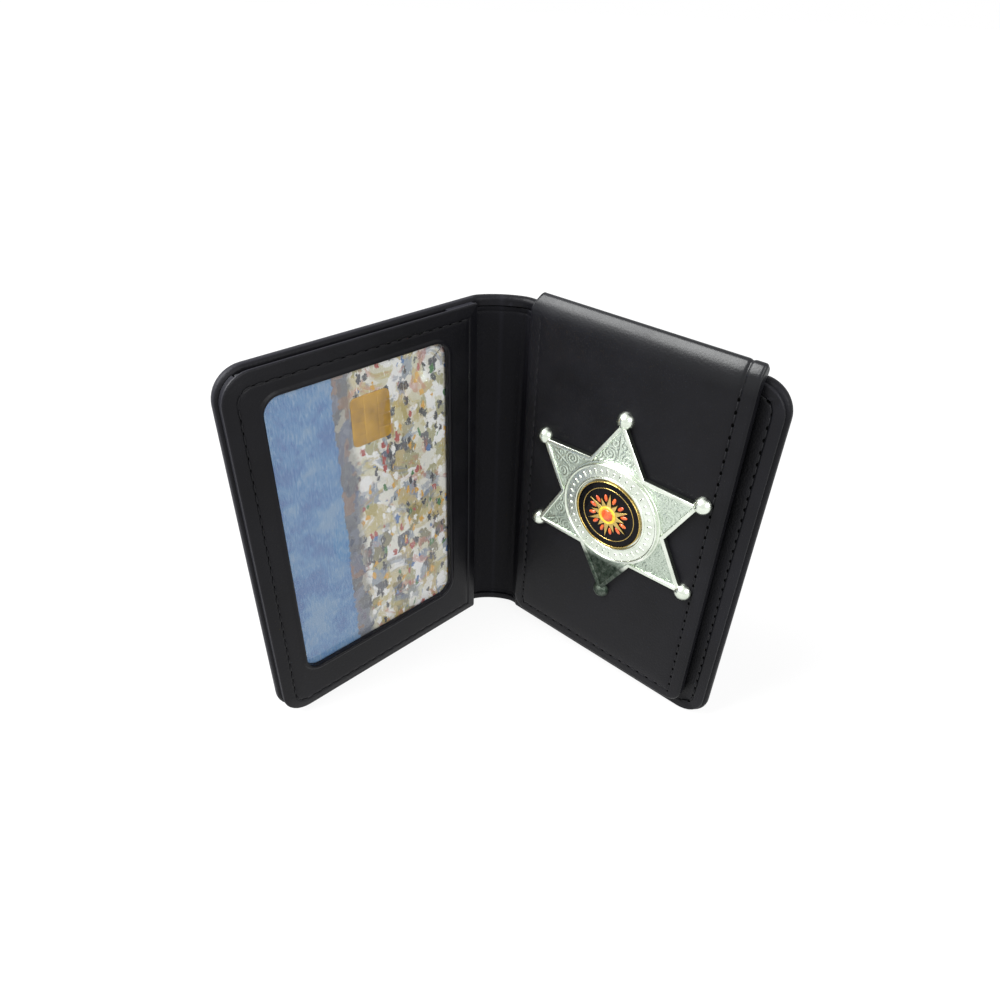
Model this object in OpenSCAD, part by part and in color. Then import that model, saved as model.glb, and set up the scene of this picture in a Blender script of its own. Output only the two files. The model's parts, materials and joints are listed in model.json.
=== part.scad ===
// Folding badge wallet, standing open on its lower edges.
// A left cover holds a card behind a clear window, a soft spine joins the covers,
// and a padded flap with a six-pointed badge hangs from the top of the right cover.
// The origin is the middle of the spine's foot, +Z is up and +Y is behind the spine.

/* [Covers] */
// Width of one cover, from its fold line to its outer edge
cover_w = 70; // [66:1:90]
// Height of the covers and of the spine
cover_h = 102; // [98:1:130]
// Distance between the two fold lines
fold_pitch = 14; // [13.8:0.2:24]
// How far the middle of the spine bows out behind the fold lines
spine_bow = 1.2; // [0.8:0.1:2.4]
// Corner radius of the covers' outer corners
corner_r = 7.5; // [5:0.5:12]
// How far the left cover is turned in from flat, in degrees
left_turn = 45; // [0:1:85]
// How far the right cover is turned in from flat, in degrees
right_turn = 39; // [0:1:85]

/* [Leather and boards] */
// Thickness of the outer leather
skin_t = 1.2; // [1:0.1:1.4]
// Thickness of the stiffener boards in the covers
board_t = 0.8; // [0.6:0.1:1]
// Thickness of the lining leather
lining_t = 0.8; // [0.6:0.1:1]
// Width of the outer leather's edge that is turned over the board
turned_edge_w = 2.6; // [2.2:0.1:4]
// Height of the turned edge above the board
turned_edge_rise = 0.5; // [0.3:0.1:0.6]
// Radius that rounds the turned edges
edge_round = 1.1; // [0.6:0.1:1.1]
// Width of the turned edge that shows beyond the inner panels
edge_show = 0.8; // [0.6:0.1:1.2]

/* [Card pocket] */
// Width of the card, across the pocket
card_w = 54; // [50:0.5:54]
// Height of the card, up the pocket
card_h = 85.6; // [70:0.2:86]
// Thickness of the card
card_t = 0.76; // [0.5:0.02:0.9]
// Corner radius of the card
card_corner_r = 3.2; // [1:0.1:5]
// Width of the contact plate on the card
contact_w = 11; // [8:0.5:13]
// Height of the contact plate on the card
contact_h = 13; // [8:0.5:14]
// Height of the sewn strip below the pocket
pocket_foot_w = 7.5; // [4:0.5:9]
// Width of the sewn strip beside the pocket, at the outer edge
pocket_side_w = 1.9; // [1.5:0.1:3]
// Width of the clear window
window_w = 48.9; // [40:0.1:50]
// Height of the clear window
window_h = 80.7; // [60:0.1:82]
// Corner radius of the window
window_corner_r = 4; // [2:0.5:8]
// Thickness of the clear sheet
window_sheet_t = 0.3; // [0.2:0.05:0.4]
// Thickness of the leather of the window frame
frame_t = 1.1; // [0.9:0.1:1.2]
// Radius that rounds the outer edge of the window frame
frame_round = 1; // [0.6:0.1:1.4]
// Height of the raised lip round the window
lip_h = 0.4; // [0.2:0.1:0.5]
// Width of the raised lip round the window
lip_w = 1.4; // [0.8:0.1:2]

/* [Badge flap] */
// Gap between the fold line and the flap
flap_near = 4.2; // [3:0.2:8]
// Width of the right cover that shows beyond the flap
flap_margin = 6.5; // [4:0.5:10]
// Height of the flap's lower edge above the cover's foot
flap_foot = 3.4; // [1:0.2:8]
// Corner radius of the flap's lower corners
flap_corner_r = 3; // [2:0.5:6]
// Thickness of the flap's front leather
flap_front_t = 0.9; // [0.7:0.1:1]
// Thickness of the flap's core board
flap_core_t = 1.6; // [1.4:0.1:1.8]
// Thickness of the flap's back leather
flap_back_t = 0.8; // [0.6:0.1:0.8]
// Radius of the padded roll along the top of the flap
roll_r = 2.4; // [2.2:0.1:2.6]
// Height of the roll's axis above the top of the cover
roll_lift = 1.6; // [1.5:0.1:2.4]

/* [Badge] */
// Distance from the badge's centre to the centre of a ball tip
badge_r = 26.3; // [22:0.1:27]
// Distance from the fold line to the badge's centre
badge_from_fold = 35.2; // [33:0.2:36]
// Height of the badge's centre above the cover's foot
badge_up = 56.6; // [40:0.2:64]
// Thickness of the badge's plate
badge_t = 1; // [0.8:0.1:1.2]
// Height of the raised rim along the badge's edge
badge_rim_h = 0.5; // [0.2:0.1:0.6]
// Width of the raised rim along the badge's edge
badge_rim_w = 1.2; // [0.8:0.1:1.6]
// Diameter of the ball tips
ball_d = 4.6; // [3.6:0.1:5]
// Outer diameter of the centre ring
ring_d = 28; // [24:0.5:29]
// Diameter of the enamel disc
disc_d = 18.4; // [14:0.2:18.8]
// Width of the gold bezel round the enamel disc
bezel_w = 0.4; // [0.3:0.1:0.6]
// Diameter of the posts that hold the badge
post_d = 2.4; // [2:0.1:3]
// Distance between the two posts
post_pitch = 18; // [14:0.5:22]

/* [Fits] */
// Running gap round the card in its pocket
card_gap = 0.3; // [0.2:0.05:0.4]
// Gap on each face of the card
card_play = 0.22; // [0.15:0.01:0.25]
// Gap under the card where it stands in its pocket
card_seat_gap = 0.1; // [0.05:0.05:0.2]
// Gap between the leather of the spine and of a cover at a fold
fold_gap = 0.3; // [0.2:0.05:0.4]
// Gap between the flap and the lining that it hangs in front of
flap_gap = 0.3; // [0.2:0.05:0.4]
// Clearance where one piece is let into another
let_in = 0.1; // [0.05:0.05:0.15]

/* [Hidden] */
$fn = 64;
// Extra length of every cut
cut = 1;

// Levels through the covers, from the middle of the outer leather towards the inside
skin_in = skin_t / 2;
board_in = skin_in + board_t;
turned_in = board_in + turned_edge_rise;
lining_in = board_in + lining_t;
pocket_in = lining_in + card_t + 2 * card_play;
sheet_in = pocket_in + window_sheet_t;
frame_in = sheet_in + frame_t;
lip_in = frame_in + lip_h;

// Where the layers begin beside a fold line
skin_near = skin_in + fold_gap;
layer_near = skin_in + lining_t + 2 * fold_gap;
panel_near = layer_near + fold_gap;

// Borders inside the turned edge
border_far = cover_w - turned_edge_w;
border_top = cover_h - turned_edge_w;
inner_corner_r = corner_r - turned_edge_w;

// Outline of the inner panels, which lie on the turned edge
panel_far = cover_w - edge_show;
panel_top = cover_h - edge_show;
panel_corner_r = corner_r - edge_show;

// Pocket, card and window, as distances from the fold line and heights
pocket_far = border_far - let_in - pocket_side_w;
pocket_near = pocket_far - card_w - 2 * card_gap;
pocket_floor = turned_edge_w + let_in + pocket_foot_w;
card_near = pocket_near + card_gap;
card_low = pocket_floor + card_seat_gap;
card_top = card_low + card_h;
window_lift = 1.2;
window_near = card_near + (card_w - window_w) / 2;
window_low = card_low + (card_h - window_h) / 2 + window_lift;
contact_t = 0.2;
contact_corner_r = 1.5;
contact_from_top = 15.1;
contact_from_near = 23.9;

// Levels through the flap, from the lining of the right cover towards the viewer
flap_back_out = lining_in + flap_gap;
core_out = flap_back_out + flap_back_t;
front_out = core_out + flap_core_t;
flap_face = front_out + flap_front_t;
flap_far = cover_w - flap_margin;
flap_w = flap_far - flap_near;
flap_rim_w = 2;
flap_round = 0.8;
roll_bulge = 0.25;
roll_up = cover_h + roll_lift;
roll_out = flap_face + roll_bulge - roll_r;
roll_leather_t = 1;
cord_r = roll_r - roll_leather_t - let_in;
core_top = roll_up - roll_r - flap_gap;
strap_tail_h = 9;
strap_t = 0.8;
strap_inset = 1.2;
strap_low = border_top - strap_tail_h;
riser_lap = 1.2;
riser_low = border_top - riser_lap;
riser_top = roll_up - sqrt(pow(roll_r + flap_gap, 2) - pow(roll_out - turned_in - strap_t - let_in, 2));
back_top = riser_low - 2 * flap_gap;

// Badge levels, from the flap's face towards the viewer
notch_share = 0.593;
star_in_out = flap_face + badge_t;
star_rim_out = star_in_out + badge_rim_h;
ring_t = 0.5;
ring_lip_w = 0.7;
ring_lip_h = 0.35;
boss_margin = 0.5;
bezel_h = 1;
disc_t = 0.7;
emblem_t = 0.45;
emblem_r_share = 0.71;
emblem_waist_share = 0.4;
emblem_rays = 12;
ball_sink = 0.1;
stud_share = 0.2;
nut_d = 6.4;
nut_t = 1.1;
nut_grips = 18;
grip_depth = 0.3;
washer_t = 0.25;
washer_d = 6.8;

// Places a cover's pieces: they are drawn lying flat, with X out from the fold line,
// Y up the cover and Z towards the inside of the wallet
module on_cover(turn) {
    translate([fold_pitch / 2, -spine_bow, 0])
        rotate([0, 0, -turn])
            rotate([90, 0, 0])
                children();
}

module on_left() {
    mirror([1, 0, 0])
        on_cover(left_turn)
            children();
}

module on_right() {
    on_cover(right_turn)
        children();
}

// Gives an outline its place through the thickness
module layer(low, high) {
    translate([0, 0, low])
        linear_extrude(height = high - low)
            children();
}

module rounded_rectangle(low, size, r) {
    translate([low[0] + r, low[1]])
        square([size[0] - 2 * r, size[1]]);
    translate([low[0], low[1] + r])
        square([size[0], size[1] - 2 * r]);
    for (x = [low[0] + r, low[0] + size[0] - r], y = [low[1] + r, low[1] + size[1] - r])
        translate([x, y])
            circle(r = r);
}

// Section through an edge of leather: flat behind, with its two far corners rounded
module edge_section(reach, thick, back_r, front_r) {
    square([reach - max(back_r, front_r), thick]);
    translate([0, back_r])
        square([reach, thick - back_r - front_r]);
    if (back_r > 0)
        translate([reach - back_r, back_r])
            circle(r = back_r);
    if (front_r > 0)
        translate([reach - front_r, thick - front_r])
            circle(r = front_r);
}

// A sheet of leather with one straight side on Y = 0 and three rounded edges,
// whose two far corners are revolved from the same section
module rolled_sheet(length, width, low, high, r, back_r, front_r) {
    thick = high - low;
    translate([0, 0, low]) {
        translate([0, r, 0])
            cube([length - r, width - 2 * r, thick]);
        translate([length - r, width - r, 0])
            rotate([90, 0, 0])
                linear_extrude(height = width - 2 * r)
                    edge_section(r, thick, back_r, front_r);
        translate([0, width - r, 0])
            rotate([90, 0, 90])
                linear_extrude(height = length - r)
                    edge_section(r, thick, back_r, front_r);
        translate([0, r, 0])
            mirror([0, 1, 0])
                rotate([90, 0, 90])
                    linear_extrude(height = length - r)
                        edge_section(r, thick, back_r, front_r);
        translate([length - r, width - r, 0])
            rotate_extrude(angle = 90)
                edge_section(r, thick, back_r, front_r);
        translate([length - r, r, 0])
            rotate([0, 0, -90])
                rotate_extrude(angle = 90)
                    edge_section(r, thick, back_r, front_r);
    }
}

// Spine

function bow_radius() = (pow(fold_pitch / 2, 2) + pow(spine_bow, 2)) / (2 * spine_bow);

function bow_half_angle(half_width) = asin(half_width / bow_radius());

// Section of a bowed strip between two radii, as wide as the half width each way
module bowed_section(inner, outer, half_width) {
    spread = bow_half_angle(half_width);
    reach = outer + cut;
    translate([0, -bow_radius()])
        intersection() {
            difference() {
                circle(r = outer, $fn = 4 * $fn);
                circle(r = inner, $fn = 4 * $fn);
            }
            polygon([[0, 0], [-reach * tan(spread), reach], [reach * tan(spread), reach]]);
        }
}

module spine_leather() {
    color([0.11, 0.11, 0.12])
        linear_extrude(height = cover_h) {
            bowed_section(bow_radius() - skin_in, bow_radius() + skin_in, fold_pitch / 2);
            for (side = [-1, 1])
                translate([side * fold_pitch / 2, -spine_bow])
                    circle(r = skin_in);
        }
}

module spine_lining() {
    inset = turned_edge_w / 2;
    color([0.14, 0.14, 0.15])
        translate([0, 0, inset])
            linear_extrude(height = cover_h - 2 * inset)
                bowed_section(bow_radius() - skin_in - lining_t, bow_radius() - skin_in,
                    fold_pitch / 2 - skin_in - lining_t - fold_gap);
}

// Pieces that both covers have

module cover_leather() {
    difference() {
        translate([skin_near, 0, 0])
            rolled_sheet(cover_w - skin_near, cover_h, -skin_in, turned_in, corner_r,
                edge_round, edge_round);
        // bed for the board and the lining inside the turned edge
        layer(skin_in, turned_in + cut)
            bed_outline(0);
        // room beside the fold
        translate([-cut, -cut, skin_in])
            cube([layer_near + cut, cover_h + 2 * cut, turned_in - skin_in + cut]);
    }
}

// Outline of the bed inside the turned edge, open towards the fold
module bed_outline(inset) {
    rounded_rectangle([-corner_r, turned_edge_w + inset],
        [border_far - inset + corner_r, cover_h - 2 * turned_edge_w - 2 * inset],
        inner_corner_r - inset);
}

// A panel that covers the inside of a cover and lies on its turned edge
module inner_panel(near, high, r) {
    translate([near, edge_show, 0])
        rolled_sheet(panel_far - near, cover_h - 2 * edge_show, turned_in, high, panel_corner_r, 0, r);
}

module cover_board() {
    color([0.45, 0.40, 0.33])
        layer(skin_in, board_in)
            rounded_rectangle([layer_near, turned_edge_w + let_in],
                [border_far - let_in - layer_near, cover_h - 2 * turned_edge_w - 2 * let_in],
                inner_corner_r - let_in);
}

// Left cover with its card pocket

module left_cover_leather() {
    color([0.11, 0.11, 0.12])
        on_left()
            cover_leather();
}

module left_cover_board() {
    on_left()
        cover_board();
}

module pocket_lining() {
    color([0.13, 0.13, 0.14])
        on_left()
            layer(board_in, lining_in)
                rounded_rectangle([layer_near, turned_edge_w + let_in],
                    [border_far - let_in - layer_near, cover_h - 2 * turned_edge_w - 2 * let_in],
                    inner_corner_r - let_in);
}

module window_outline(margin) {
    rounded_rectangle([window_near - margin, window_low - margin],
        [window_w + 2 * margin, window_h + 2 * margin], window_corner_r + margin);
}

module window_frame() {
    color([0.12, 0.12, 0.13])
        on_left()
            difference() {
                union() {
                    inner_panel(panel_near, frame_in, frame_round);
                    layer(sheet_in, lip_in)
                        window_outline(lip_w);
                }
                layer(turned_in - cut, lining_in)
                    bed_outline(0);
                // pocket for the card and the clear sheet, open at the top
                translate([pocket_near, pocket_floor, lining_in - cut])
                    cube([pocket_far - pocket_near, cover_h, sheet_in - lining_in + cut]);
                layer(lining_in, lip_in + cut)
                    window_outline(0);
            }
}

module clear_window() {
    color([0.85, 0.88, 0.92, 0.3])
        on_left()
            translate([pocket_near + let_in, pocket_floor + let_in, pocket_in])
                cube([pocket_far - pocket_near - 2 * let_in,
                    panel_top - pocket_floor - 2 * let_in, window_sheet_t]);
}

// Card

module contact_outline(margin) {
    rounded_rectangle([card_near + contact_from_near - contact_w / 2 - margin,
            card_top - contact_from_top - contact_h / 2 - margin],
        [contact_w + 2 * margin, contact_h + 2 * margin], contact_corner_r + margin);
}

module id_card() {
    face = lining_in + card_play + card_t;
    color([0.45, 0.58, 0.78])
        on_left()
            difference() {
                layer(lining_in + card_play, face)
                    rounded_rectangle([card_near, card_low], [card_w, card_h], card_corner_r);
                layer(face - contact_t, face + cut)
                    contact_outline(let_in);
            }
}

module card_contact_plate() {
    face = lining_in + card_play + card_t;
    color([0.85, 0.68, 0.35])
        on_left()
            layer(face - contact_t, face)
                contact_outline(0);
}

// Right cover

module right_cover_leather() {
    color([0.11, 0.11, 0.12])
        on_right()
            cover_leather();
}

module right_cover_board() {
    on_right()
        cover_board();
}

// The lining climbs over the turned edge, and ends below the strap that carries the flap
module right_cover_lining() {
    color([0.13, 0.13, 0.14])
        on_right()
            difference() {
                union() {
                    layer(board_in, lining_in)
                        rounded_rectangle([layer_near, turned_edge_w + let_in],
                            [border_far - let_in - layer_near,
                                cover_h - 2 * turned_edge_w - 2 * let_in],
                            inner_corner_r - let_in);
                    difference() {
                        inner_panel(layer_near, turned_in + lining_t, lining_t / 2);
                        layer(turned_in - cut, turned_in + lining_t + cut)
                            bed_outline(lining_t);
                    }
                }
                translate([flap_near + strap_inset - let_in, strap_low - let_in, board_in - cut])
                    cube([flap_w - 2 * strap_inset + 2 * let_in, cover_h,
                        turned_in + lining_t - board_in + 2 * cut]);
            }
}

// Its tail is sewn into the lining, and it rises over the turned edge to the roll
module flap_hinge_strap() {
    color([0.10, 0.10, 0.11])
        on_right()
            translate([flap_near + strap_inset, 0, 0]) {
                translate([0, strap_low, board_in])
                    cube([flap_w - 2 * strap_inset, border_top - strap_low - let_in, lining_t]);
                translate([0, riser_low, turned_in + let_in])
                    cube([flap_w - 2 * strap_inset, riser_top - riser_low, strap_t]);
            }
}

// Badge flap

module post_places() {
    for (side = [-1, 1])
        translate([badge_from_fold, badge_up + side * post_pitch / 2, 0])
            children();
}

module along_roll(inset) {
    translate([flap_near + inset, roll_up, roll_out])
        rotate([0, 90, 0])
            children();
}

module flap_front_leather() {
    color([0.12, 0.12, 0.13])
        on_right()
            difference() {
                union() {
                    translate([flap_near, roll_up, 0])
                        rotate([0, 0, -90])
                            rolled_sheet(roll_up - flap_foot, flap_w, front_out, flap_face,
                                flap_corner_r, 0, flap_round);
                    // edge turned back round the core
                    difference() {
                        layer(core_out, front_out)
                            rounded_rectangle([flap_near, flap_foot],
                                [flap_w, core_top - flap_foot], flap_corner_r);
                        layer(core_out - cut, front_out + cut)
                            rounded_rectangle([flap_near + flap_rim_w, flap_foot + flap_rim_w],
                                [flap_w - 2 * flap_rim_w, cover_h], flap_corner_r / 2);
                    }
                    along_roll(0)
                        cylinder(r = roll_r, h = flap_w);
                }
                along_roll(-cut)
                    cylinder(r = roll_r - roll_leather_t, h = flap_w + 2 * cut);
                post_places()
                    translate([0, 0, front_out - cut])
                        cylinder(d = post_d + 2 * let_in, h = flap_front_t + 2 * cut);
            }
}

module flap_core_board() {
    inset = flap_rim_w + let_in;
    color([0.50, 0.44, 0.36])
        on_right()
            difference() {
                layer(core_out, front_out)
                    rounded_rectangle([flap_near + inset, flap_foot + inset],
                        [flap_w - 2 * inset, core_top - flap_foot - inset],
                        flap_corner_r / 2 - let_in);
                post_places()
                    translate([0, 0, core_out - cut])
                        cylinder(d = washer_d + 4 * let_in, h = flap_core_t + 2 * cut);
            }
}

module flap_back_leather() {
    inset = flap_rim_w / 2;
    color([0.13, 0.13, 0.14])
        on_right()
            layer(flap_back_out, core_out)
                rounded_rectangle([flap_near + inset, flap_foot + inset],
                    [flap_w - 2 * inset, back_top - flap_foot - inset], flap_corner_r / 2);
}

module flap_roll_cord() {
    color([0.30, 0.30, 0.30])
        on_right()
            along_roll(let_in)
                cylinder(r = cord_r, h = flap_w - 2 * let_in);
}

// Badge

module on_badge(level) {
    on_right()
        translate([badge_from_fold, badge_up, level])
            children();
}

// Six-pointed outline with one point up, its edges moved in by the inset
module star_outline(inset) {
    notch_r = badge_r * notch_share;
    side = sqrt(pow(badge_r, 2) + pow(notch_r, 2) - 2 * badge_r * notch_r * cos(30));
    edge_distance = badge_r * notch_r * sin(30) / side;
    shrink_share = 1 - inset / edge_distance;
    polygon([for (i = [0 : 11])
        let (r = (i % 2 == 0 ? badge_r : notch_r) * shrink_share, a = 90 + 30 * i)
            [r * cos(a), r * sin(a)]]);
}

module badge_star() {
    color([0.80, 0.82, 0.80])
        on_badge(flap_face)
            union() {
                linear_extrude(height = badge_t)
                    star_outline(0);
                linear_extrude(height = badge_t + badge_rim_h)
                    difference() {
                        star_outline(0);
                        star_outline(badge_rim_w);
                    }
                cylinder(d = ring_d + 2 * boss_margin, h = badge_t + badge_rim_h);
                for (i = [0 : 5])
                    rotate([0, 0, 90 + 60 * i])
                        translate([badge_r, 0, 0])
                            ball_tip();
                for (side = [-1, 1])
                    translate([0, side * post_pitch / 2, core_out - flap_face + let_in])
                        cylinder(d = post_d, h = flap_face - core_out);
            }
}

module ball_tip() {
    difference() {
        translate([0, 0, -ball_sink])
            sphere(d = ball_d);
        translate([-ball_d, -ball_d, -2 * ball_d])
            cube([2 * ball_d, 2 * ball_d, 2 * ball_d]);
    }
}

// Flat band with a raised lip at each edge, turned on a lathe
module badge_centre_ring() {
    outer = ring_d / 2;
    inner = disc_d / 2 + bezel_w + 2 * let_in;
    color([0.78, 0.80, 0.78])
        on_badge(star_rim_out)
            rotate_extrude()
                polygon([[inner, 0], [outer, 0], [outer, ring_t], [outer - ring_lip_w / 2, ring_t + ring_lip_h],
                    [outer - ring_lip_w, ring_t], [inner + ring_lip_w, ring_t],
                    [inner + ring_lip_w / 2, ring_t + ring_lip_h], [inner, ring_t]]);
}

module badge_bezel() {
    color([0.80, 0.62, 0.25])
        on_badge(star_rim_out)
            difference() {
                cylinder(d = disc_d + 2 * bezel_w, h = bezel_h);
                translate([0, 0, -cut])
                    cylinder(d = disc_d, h = bezel_h + 2 * cut);
            }
}

module enamel_disc() {
    color([0.05, 0.05, 0.06])
        on_badge(star_rim_out)
            cylinder(d = disc_d - 2 * let_in, h = disc_t);
}

// Sunburst of rays, long and short by turns, with a hole for the stud
module emblem_rays() {
    long = disc_d / 2 * emblem_r_share;
    color([0.90, 0.60, 0.15])
        on_badge(star_rim_out + disc_t)
            linear_extrude(height = emblem_t)
                difference() {
                    polygon([for (i = [0 : 2 * emblem_rays - 1])
                        let (tip = i % 4 == 0 ? long : long * (1 + emblem_waist_share) / 2,
                            r = i % 2 == 0 ? tip : long * emblem_waist_share,
                            a = 90 + 180 / emblem_rays * i)
                            [r * cos(a), r * sin(a)]]);
                    circle(r = disc_d / 2 * stud_share + let_in);
                }
}

module emblem_stud() {
    r = disc_d / 2 * stud_share;
    color([0.75, 0.20, 0.10])
        on_badge(star_rim_out + disc_t)
            intersection() {
                cylinder(r = r, h = 2 * emblem_t);
                translate([0, 0, 2 * emblem_t - r])
                    sphere(r = r);
            }
}

// Washers and round nuts on the posts, inside the flap

module badge_washer(side) {
    color([0.70, 0.70, 0.70])
        on_badge(front_out - washer_t)
            translate([0, side * post_pitch / 2, 0])
                difference() {
                    cylinder(d = washer_d, h = washer_t);
                    translate([0, 0, -cut])
                        cylinder(d = post_d + let_in, h = washer_t + 2 * cut);
                }
}

module badge_nut(side) {
    color([0.75, 0.65, 0.40])
        on_badge(front_out - washer_t - nut_t)
            translate([0, side * post_pitch / 2, 0])
                difference() {
                    cylinder(d = nut_d, h = nut_t);
                    translate([0, 0, -cut])
                        cylinder(d = post_d + let_in, h = nut_t + 2 * cut);
                    for (i = [1 : nut_grips])
                        rotate([0, 0, 360 / nut_grips * i])
                            translate([nut_d / 2, 0, -cut])
                                cylinder(r = grip_depth, h = nut_t + 2 * cut, $fn = 16);
                }
}

module upper_badge_washer() {
    badge_washer(1);
}

module lower_badge_washer() {
    badge_washer(-1);
}

module upper_badge_nut() {
    badge_nut(1);
}

module lower_badge_nut() {
    badge_nut(-1);
}

spine_leather();
spine_lining();
left_cover_leather();
left_cover_board();
pocket_lining();
window_frame();
clear_window();
id_card();
card_contact_plate();
right_cover_leather();
right_cover_board();
right_cover_lining();
flap_hinge_strap();
flap_front_leather();
flap_core_board();
flap_back_leather();
flap_roll_cord();
badge_star();
badge_centre_ring();
badge_bezel();
enamel_disc();
emblem_rays();
emblem_stud();
upper_badge_washer();
lower_badge_washer();
upper_badge_nut();
lower_badge_nut();
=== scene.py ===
# %% [markdown]
# # A folding badge wallet, dressed for its portrait
# The wallet stands open on its lower edges. The CAD frame gives its size and every hinge. What
# Blender adds is what leather, thread, metal and print look like close up. First the imported frame is
# loaded.

# %% Load the imported frame
import json
from math import asin, atan2, cos, exp, hypot, pi, radians, sin

import bmesh
import bpy
from mathutils import Matrix, Vector


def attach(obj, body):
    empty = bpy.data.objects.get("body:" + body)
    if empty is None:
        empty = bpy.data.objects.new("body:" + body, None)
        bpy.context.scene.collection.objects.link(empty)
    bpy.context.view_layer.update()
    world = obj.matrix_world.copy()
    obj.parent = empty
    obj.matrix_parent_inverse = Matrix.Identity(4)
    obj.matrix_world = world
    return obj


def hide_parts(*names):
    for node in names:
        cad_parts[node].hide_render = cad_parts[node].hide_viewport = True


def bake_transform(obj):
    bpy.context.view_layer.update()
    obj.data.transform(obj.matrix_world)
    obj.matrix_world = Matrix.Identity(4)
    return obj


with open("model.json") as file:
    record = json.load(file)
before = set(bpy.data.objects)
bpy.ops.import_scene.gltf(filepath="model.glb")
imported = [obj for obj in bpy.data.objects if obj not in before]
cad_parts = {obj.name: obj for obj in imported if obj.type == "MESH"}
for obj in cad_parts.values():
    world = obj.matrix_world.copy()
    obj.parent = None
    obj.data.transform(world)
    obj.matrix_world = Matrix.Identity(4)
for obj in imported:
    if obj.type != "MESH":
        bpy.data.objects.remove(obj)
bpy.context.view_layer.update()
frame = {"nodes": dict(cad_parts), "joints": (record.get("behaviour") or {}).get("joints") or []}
scene = bpy.context.scene

# %% [markdown]
# ## Where things are
# Each cover is easiest to draw lying flat, in millimetres: X runs out from the fold line, Y up the
# cover and Z towards the inside of the wallet. One matrix for each cover then stands it in its place,
# in metres. The hinges come from the frame: a cover lies flat with the spine at the low end of its
# range, so that angle is also how far it is folded now. The left matrix is a mirror image, which turns
# faces inside out, so every mesh gets its normals recalculated.

# %% Places of the two covers
joints = {joint["name"]: joint for joint in frame["joints"]}
FOLD_X, FOLD_Y = (round(1000 * c, 4) for c in joints["right_fold"]["pos_m"][:2])
LEFT_TURN, RIGHT_TURN = (radians(-joints[name]["range_deg"][0]) for name in ("left_fold", "right_fold"))
COVER_W, COVER_H = 70.0, 102.0
MM = Matrix.Scale(0.001, 4)


def cover_place(side, turn):
    out = Vector((side * cos(turn), -sin(turn), 0))
    inward = Vector((-side * sin(turn), -cos(turn), 0))
    place = Matrix((out, Vector((0, 0, 1)), inward)).transposed().to_4x4()
    place.translation = Vector((side * FOLD_X, FOLD_Y, 0))
    return MM @ place


left_place = cover_place(-1, LEFT_TURN)
right_place = cover_place(1, RIGHT_TURN)
print("far edge of the badge cover:", right_place @ Vector((COVER_W, 0, 0)))

# %% [markdown]
# ## Levels
# The wallet is built up in layers. These are their heights above the middle of the outer leather, the
# same as in the CAD model.

# %% Levels through the layers
SKIN = 0.6          # inner face of the outer leather; its outer face is at -0.6
BOARD = 1.4         # face of the stiffener board
TURNED = 1.9        # face of the turned edge
LINING = 2.2        # face of the lining
SHEET = 3.7         # face of the clear sheet
FRAME_FACE = 4.8    # face of the window frame
LIP = 5.2           # top of the lip round the window
FLAP_BACK = 2.5     # back of the flap
FLAP_CORE = 3.25    # face of the flap's back leather
FLAP_FACE = 5.8     # face of the flap, on which the badge sits
TURNED_W = 2.6      # width of the turned edge
HAIR = 0.02         # a gap that keeps two faces from lying in each other
print("badge side is", round(FLAP_FACE + SKIN, 2), "mm thick with its flap")

# %% [markdown]
# ## Nodes with less typing
# A material is a tree of nodes, and adding them one by one takes many lines. These helpers add a node,
# set its options, and give each named socket either a plain value or a link from another node.

# %% Helpers that add and feed nodes


def feed(tree, socket, value):
    """Links a socket to another node's output, or sets it to a plain value."""
    if isinstance(value, bpy.types.NodeSocket):
        tree.links.new(value, socket)
    else:
        socket.default_value = value


def feed_all(tree, node, sockets):
    for name, value in sockets.items():
        feed(tree, node.inputs[name], value)


def add(tree, kind, sockets=None, **options):
    made = tree.nodes.new("ShaderNode" + kind)
    for name, value in options.items():
        setattr(made, name, value)
    feed_all(tree, made, sockets or {})
    return made


def opened(material):
    """The material's node tree and its shader."""
    return material.node_tree, material.node_tree.nodes["Principled BSDF"]


def new_material(name):
    material = bpy.data.materials.new(name)
    material.use_nodes = True
    return material, *opened(material)


# %% Helpers that work with values and colours


def maths(tree, first, second, operation="ADD"):
    return add(tree, "Math", {0: first, 1: second}, operation=operation).outputs[0]


def times(tree, first, second):
    return maths(tree, first, second, "MULTIPLY")


def between(tree, value, low, high, to_low=0.0, to_high=1.0):
    """Stretches the part of a value from low to high over another range, and cuts off the rest."""
    return add(tree, "MapRange", {"Value": value, "From Min": low, "From Max": high,
                                  "To Min": to_low, "To Max": to_high}).outputs["Result"]


def opaque(colour):
    return (*colour, 1.0) if isinstance(colour, tuple) else colour


def blend_colour(tree, factor, first, second):
    made = add(tree, "Mix", data_type="RGBA")
    for index, value in ((0, factor), (6, opaque(first)), (7, opaque(second))):
        feed(tree, made.inputs[index], value)
    return made.outputs[2]


def steps_of_colour(tree, factor, stops, interpolation="CONSTANT"):
    made = add(tree, "ValToRGB", {"Fac": factor})
    made.color_ramp.interpolation = interpolation
    elements = made.color_ramp.elements
    while len(elements) < len(stops):
        elements.new(1.0)
    for element, (position, colour) in zip(elements, stops):
        element.position = position
        element.color = opaque(colour)
    return made.outputs["Color"]


# %% Helpers for textures and relief


def spot_on(tree):
    """Object coordinates, which are the frame's own metres, since no piece is moved or scaled."""
    return add(tree, "TexCoord").outputs["Object"]


def noise(tree, where, scale, detail, roughness=0.5, distortion=0.0):
    return add(tree, "TexNoise", {"Vector": where, "Scale": scale, "Detail": detail,
                                  "Roughness": roughness, "Distortion": distortion}).outputs


def mapped(tree, where, scale, turn=(0, 0, 0)):
    return add(tree, "Mapping", {"Vector": where, "Rotation": turn, "Scale": scale}).outputs[0]


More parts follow.
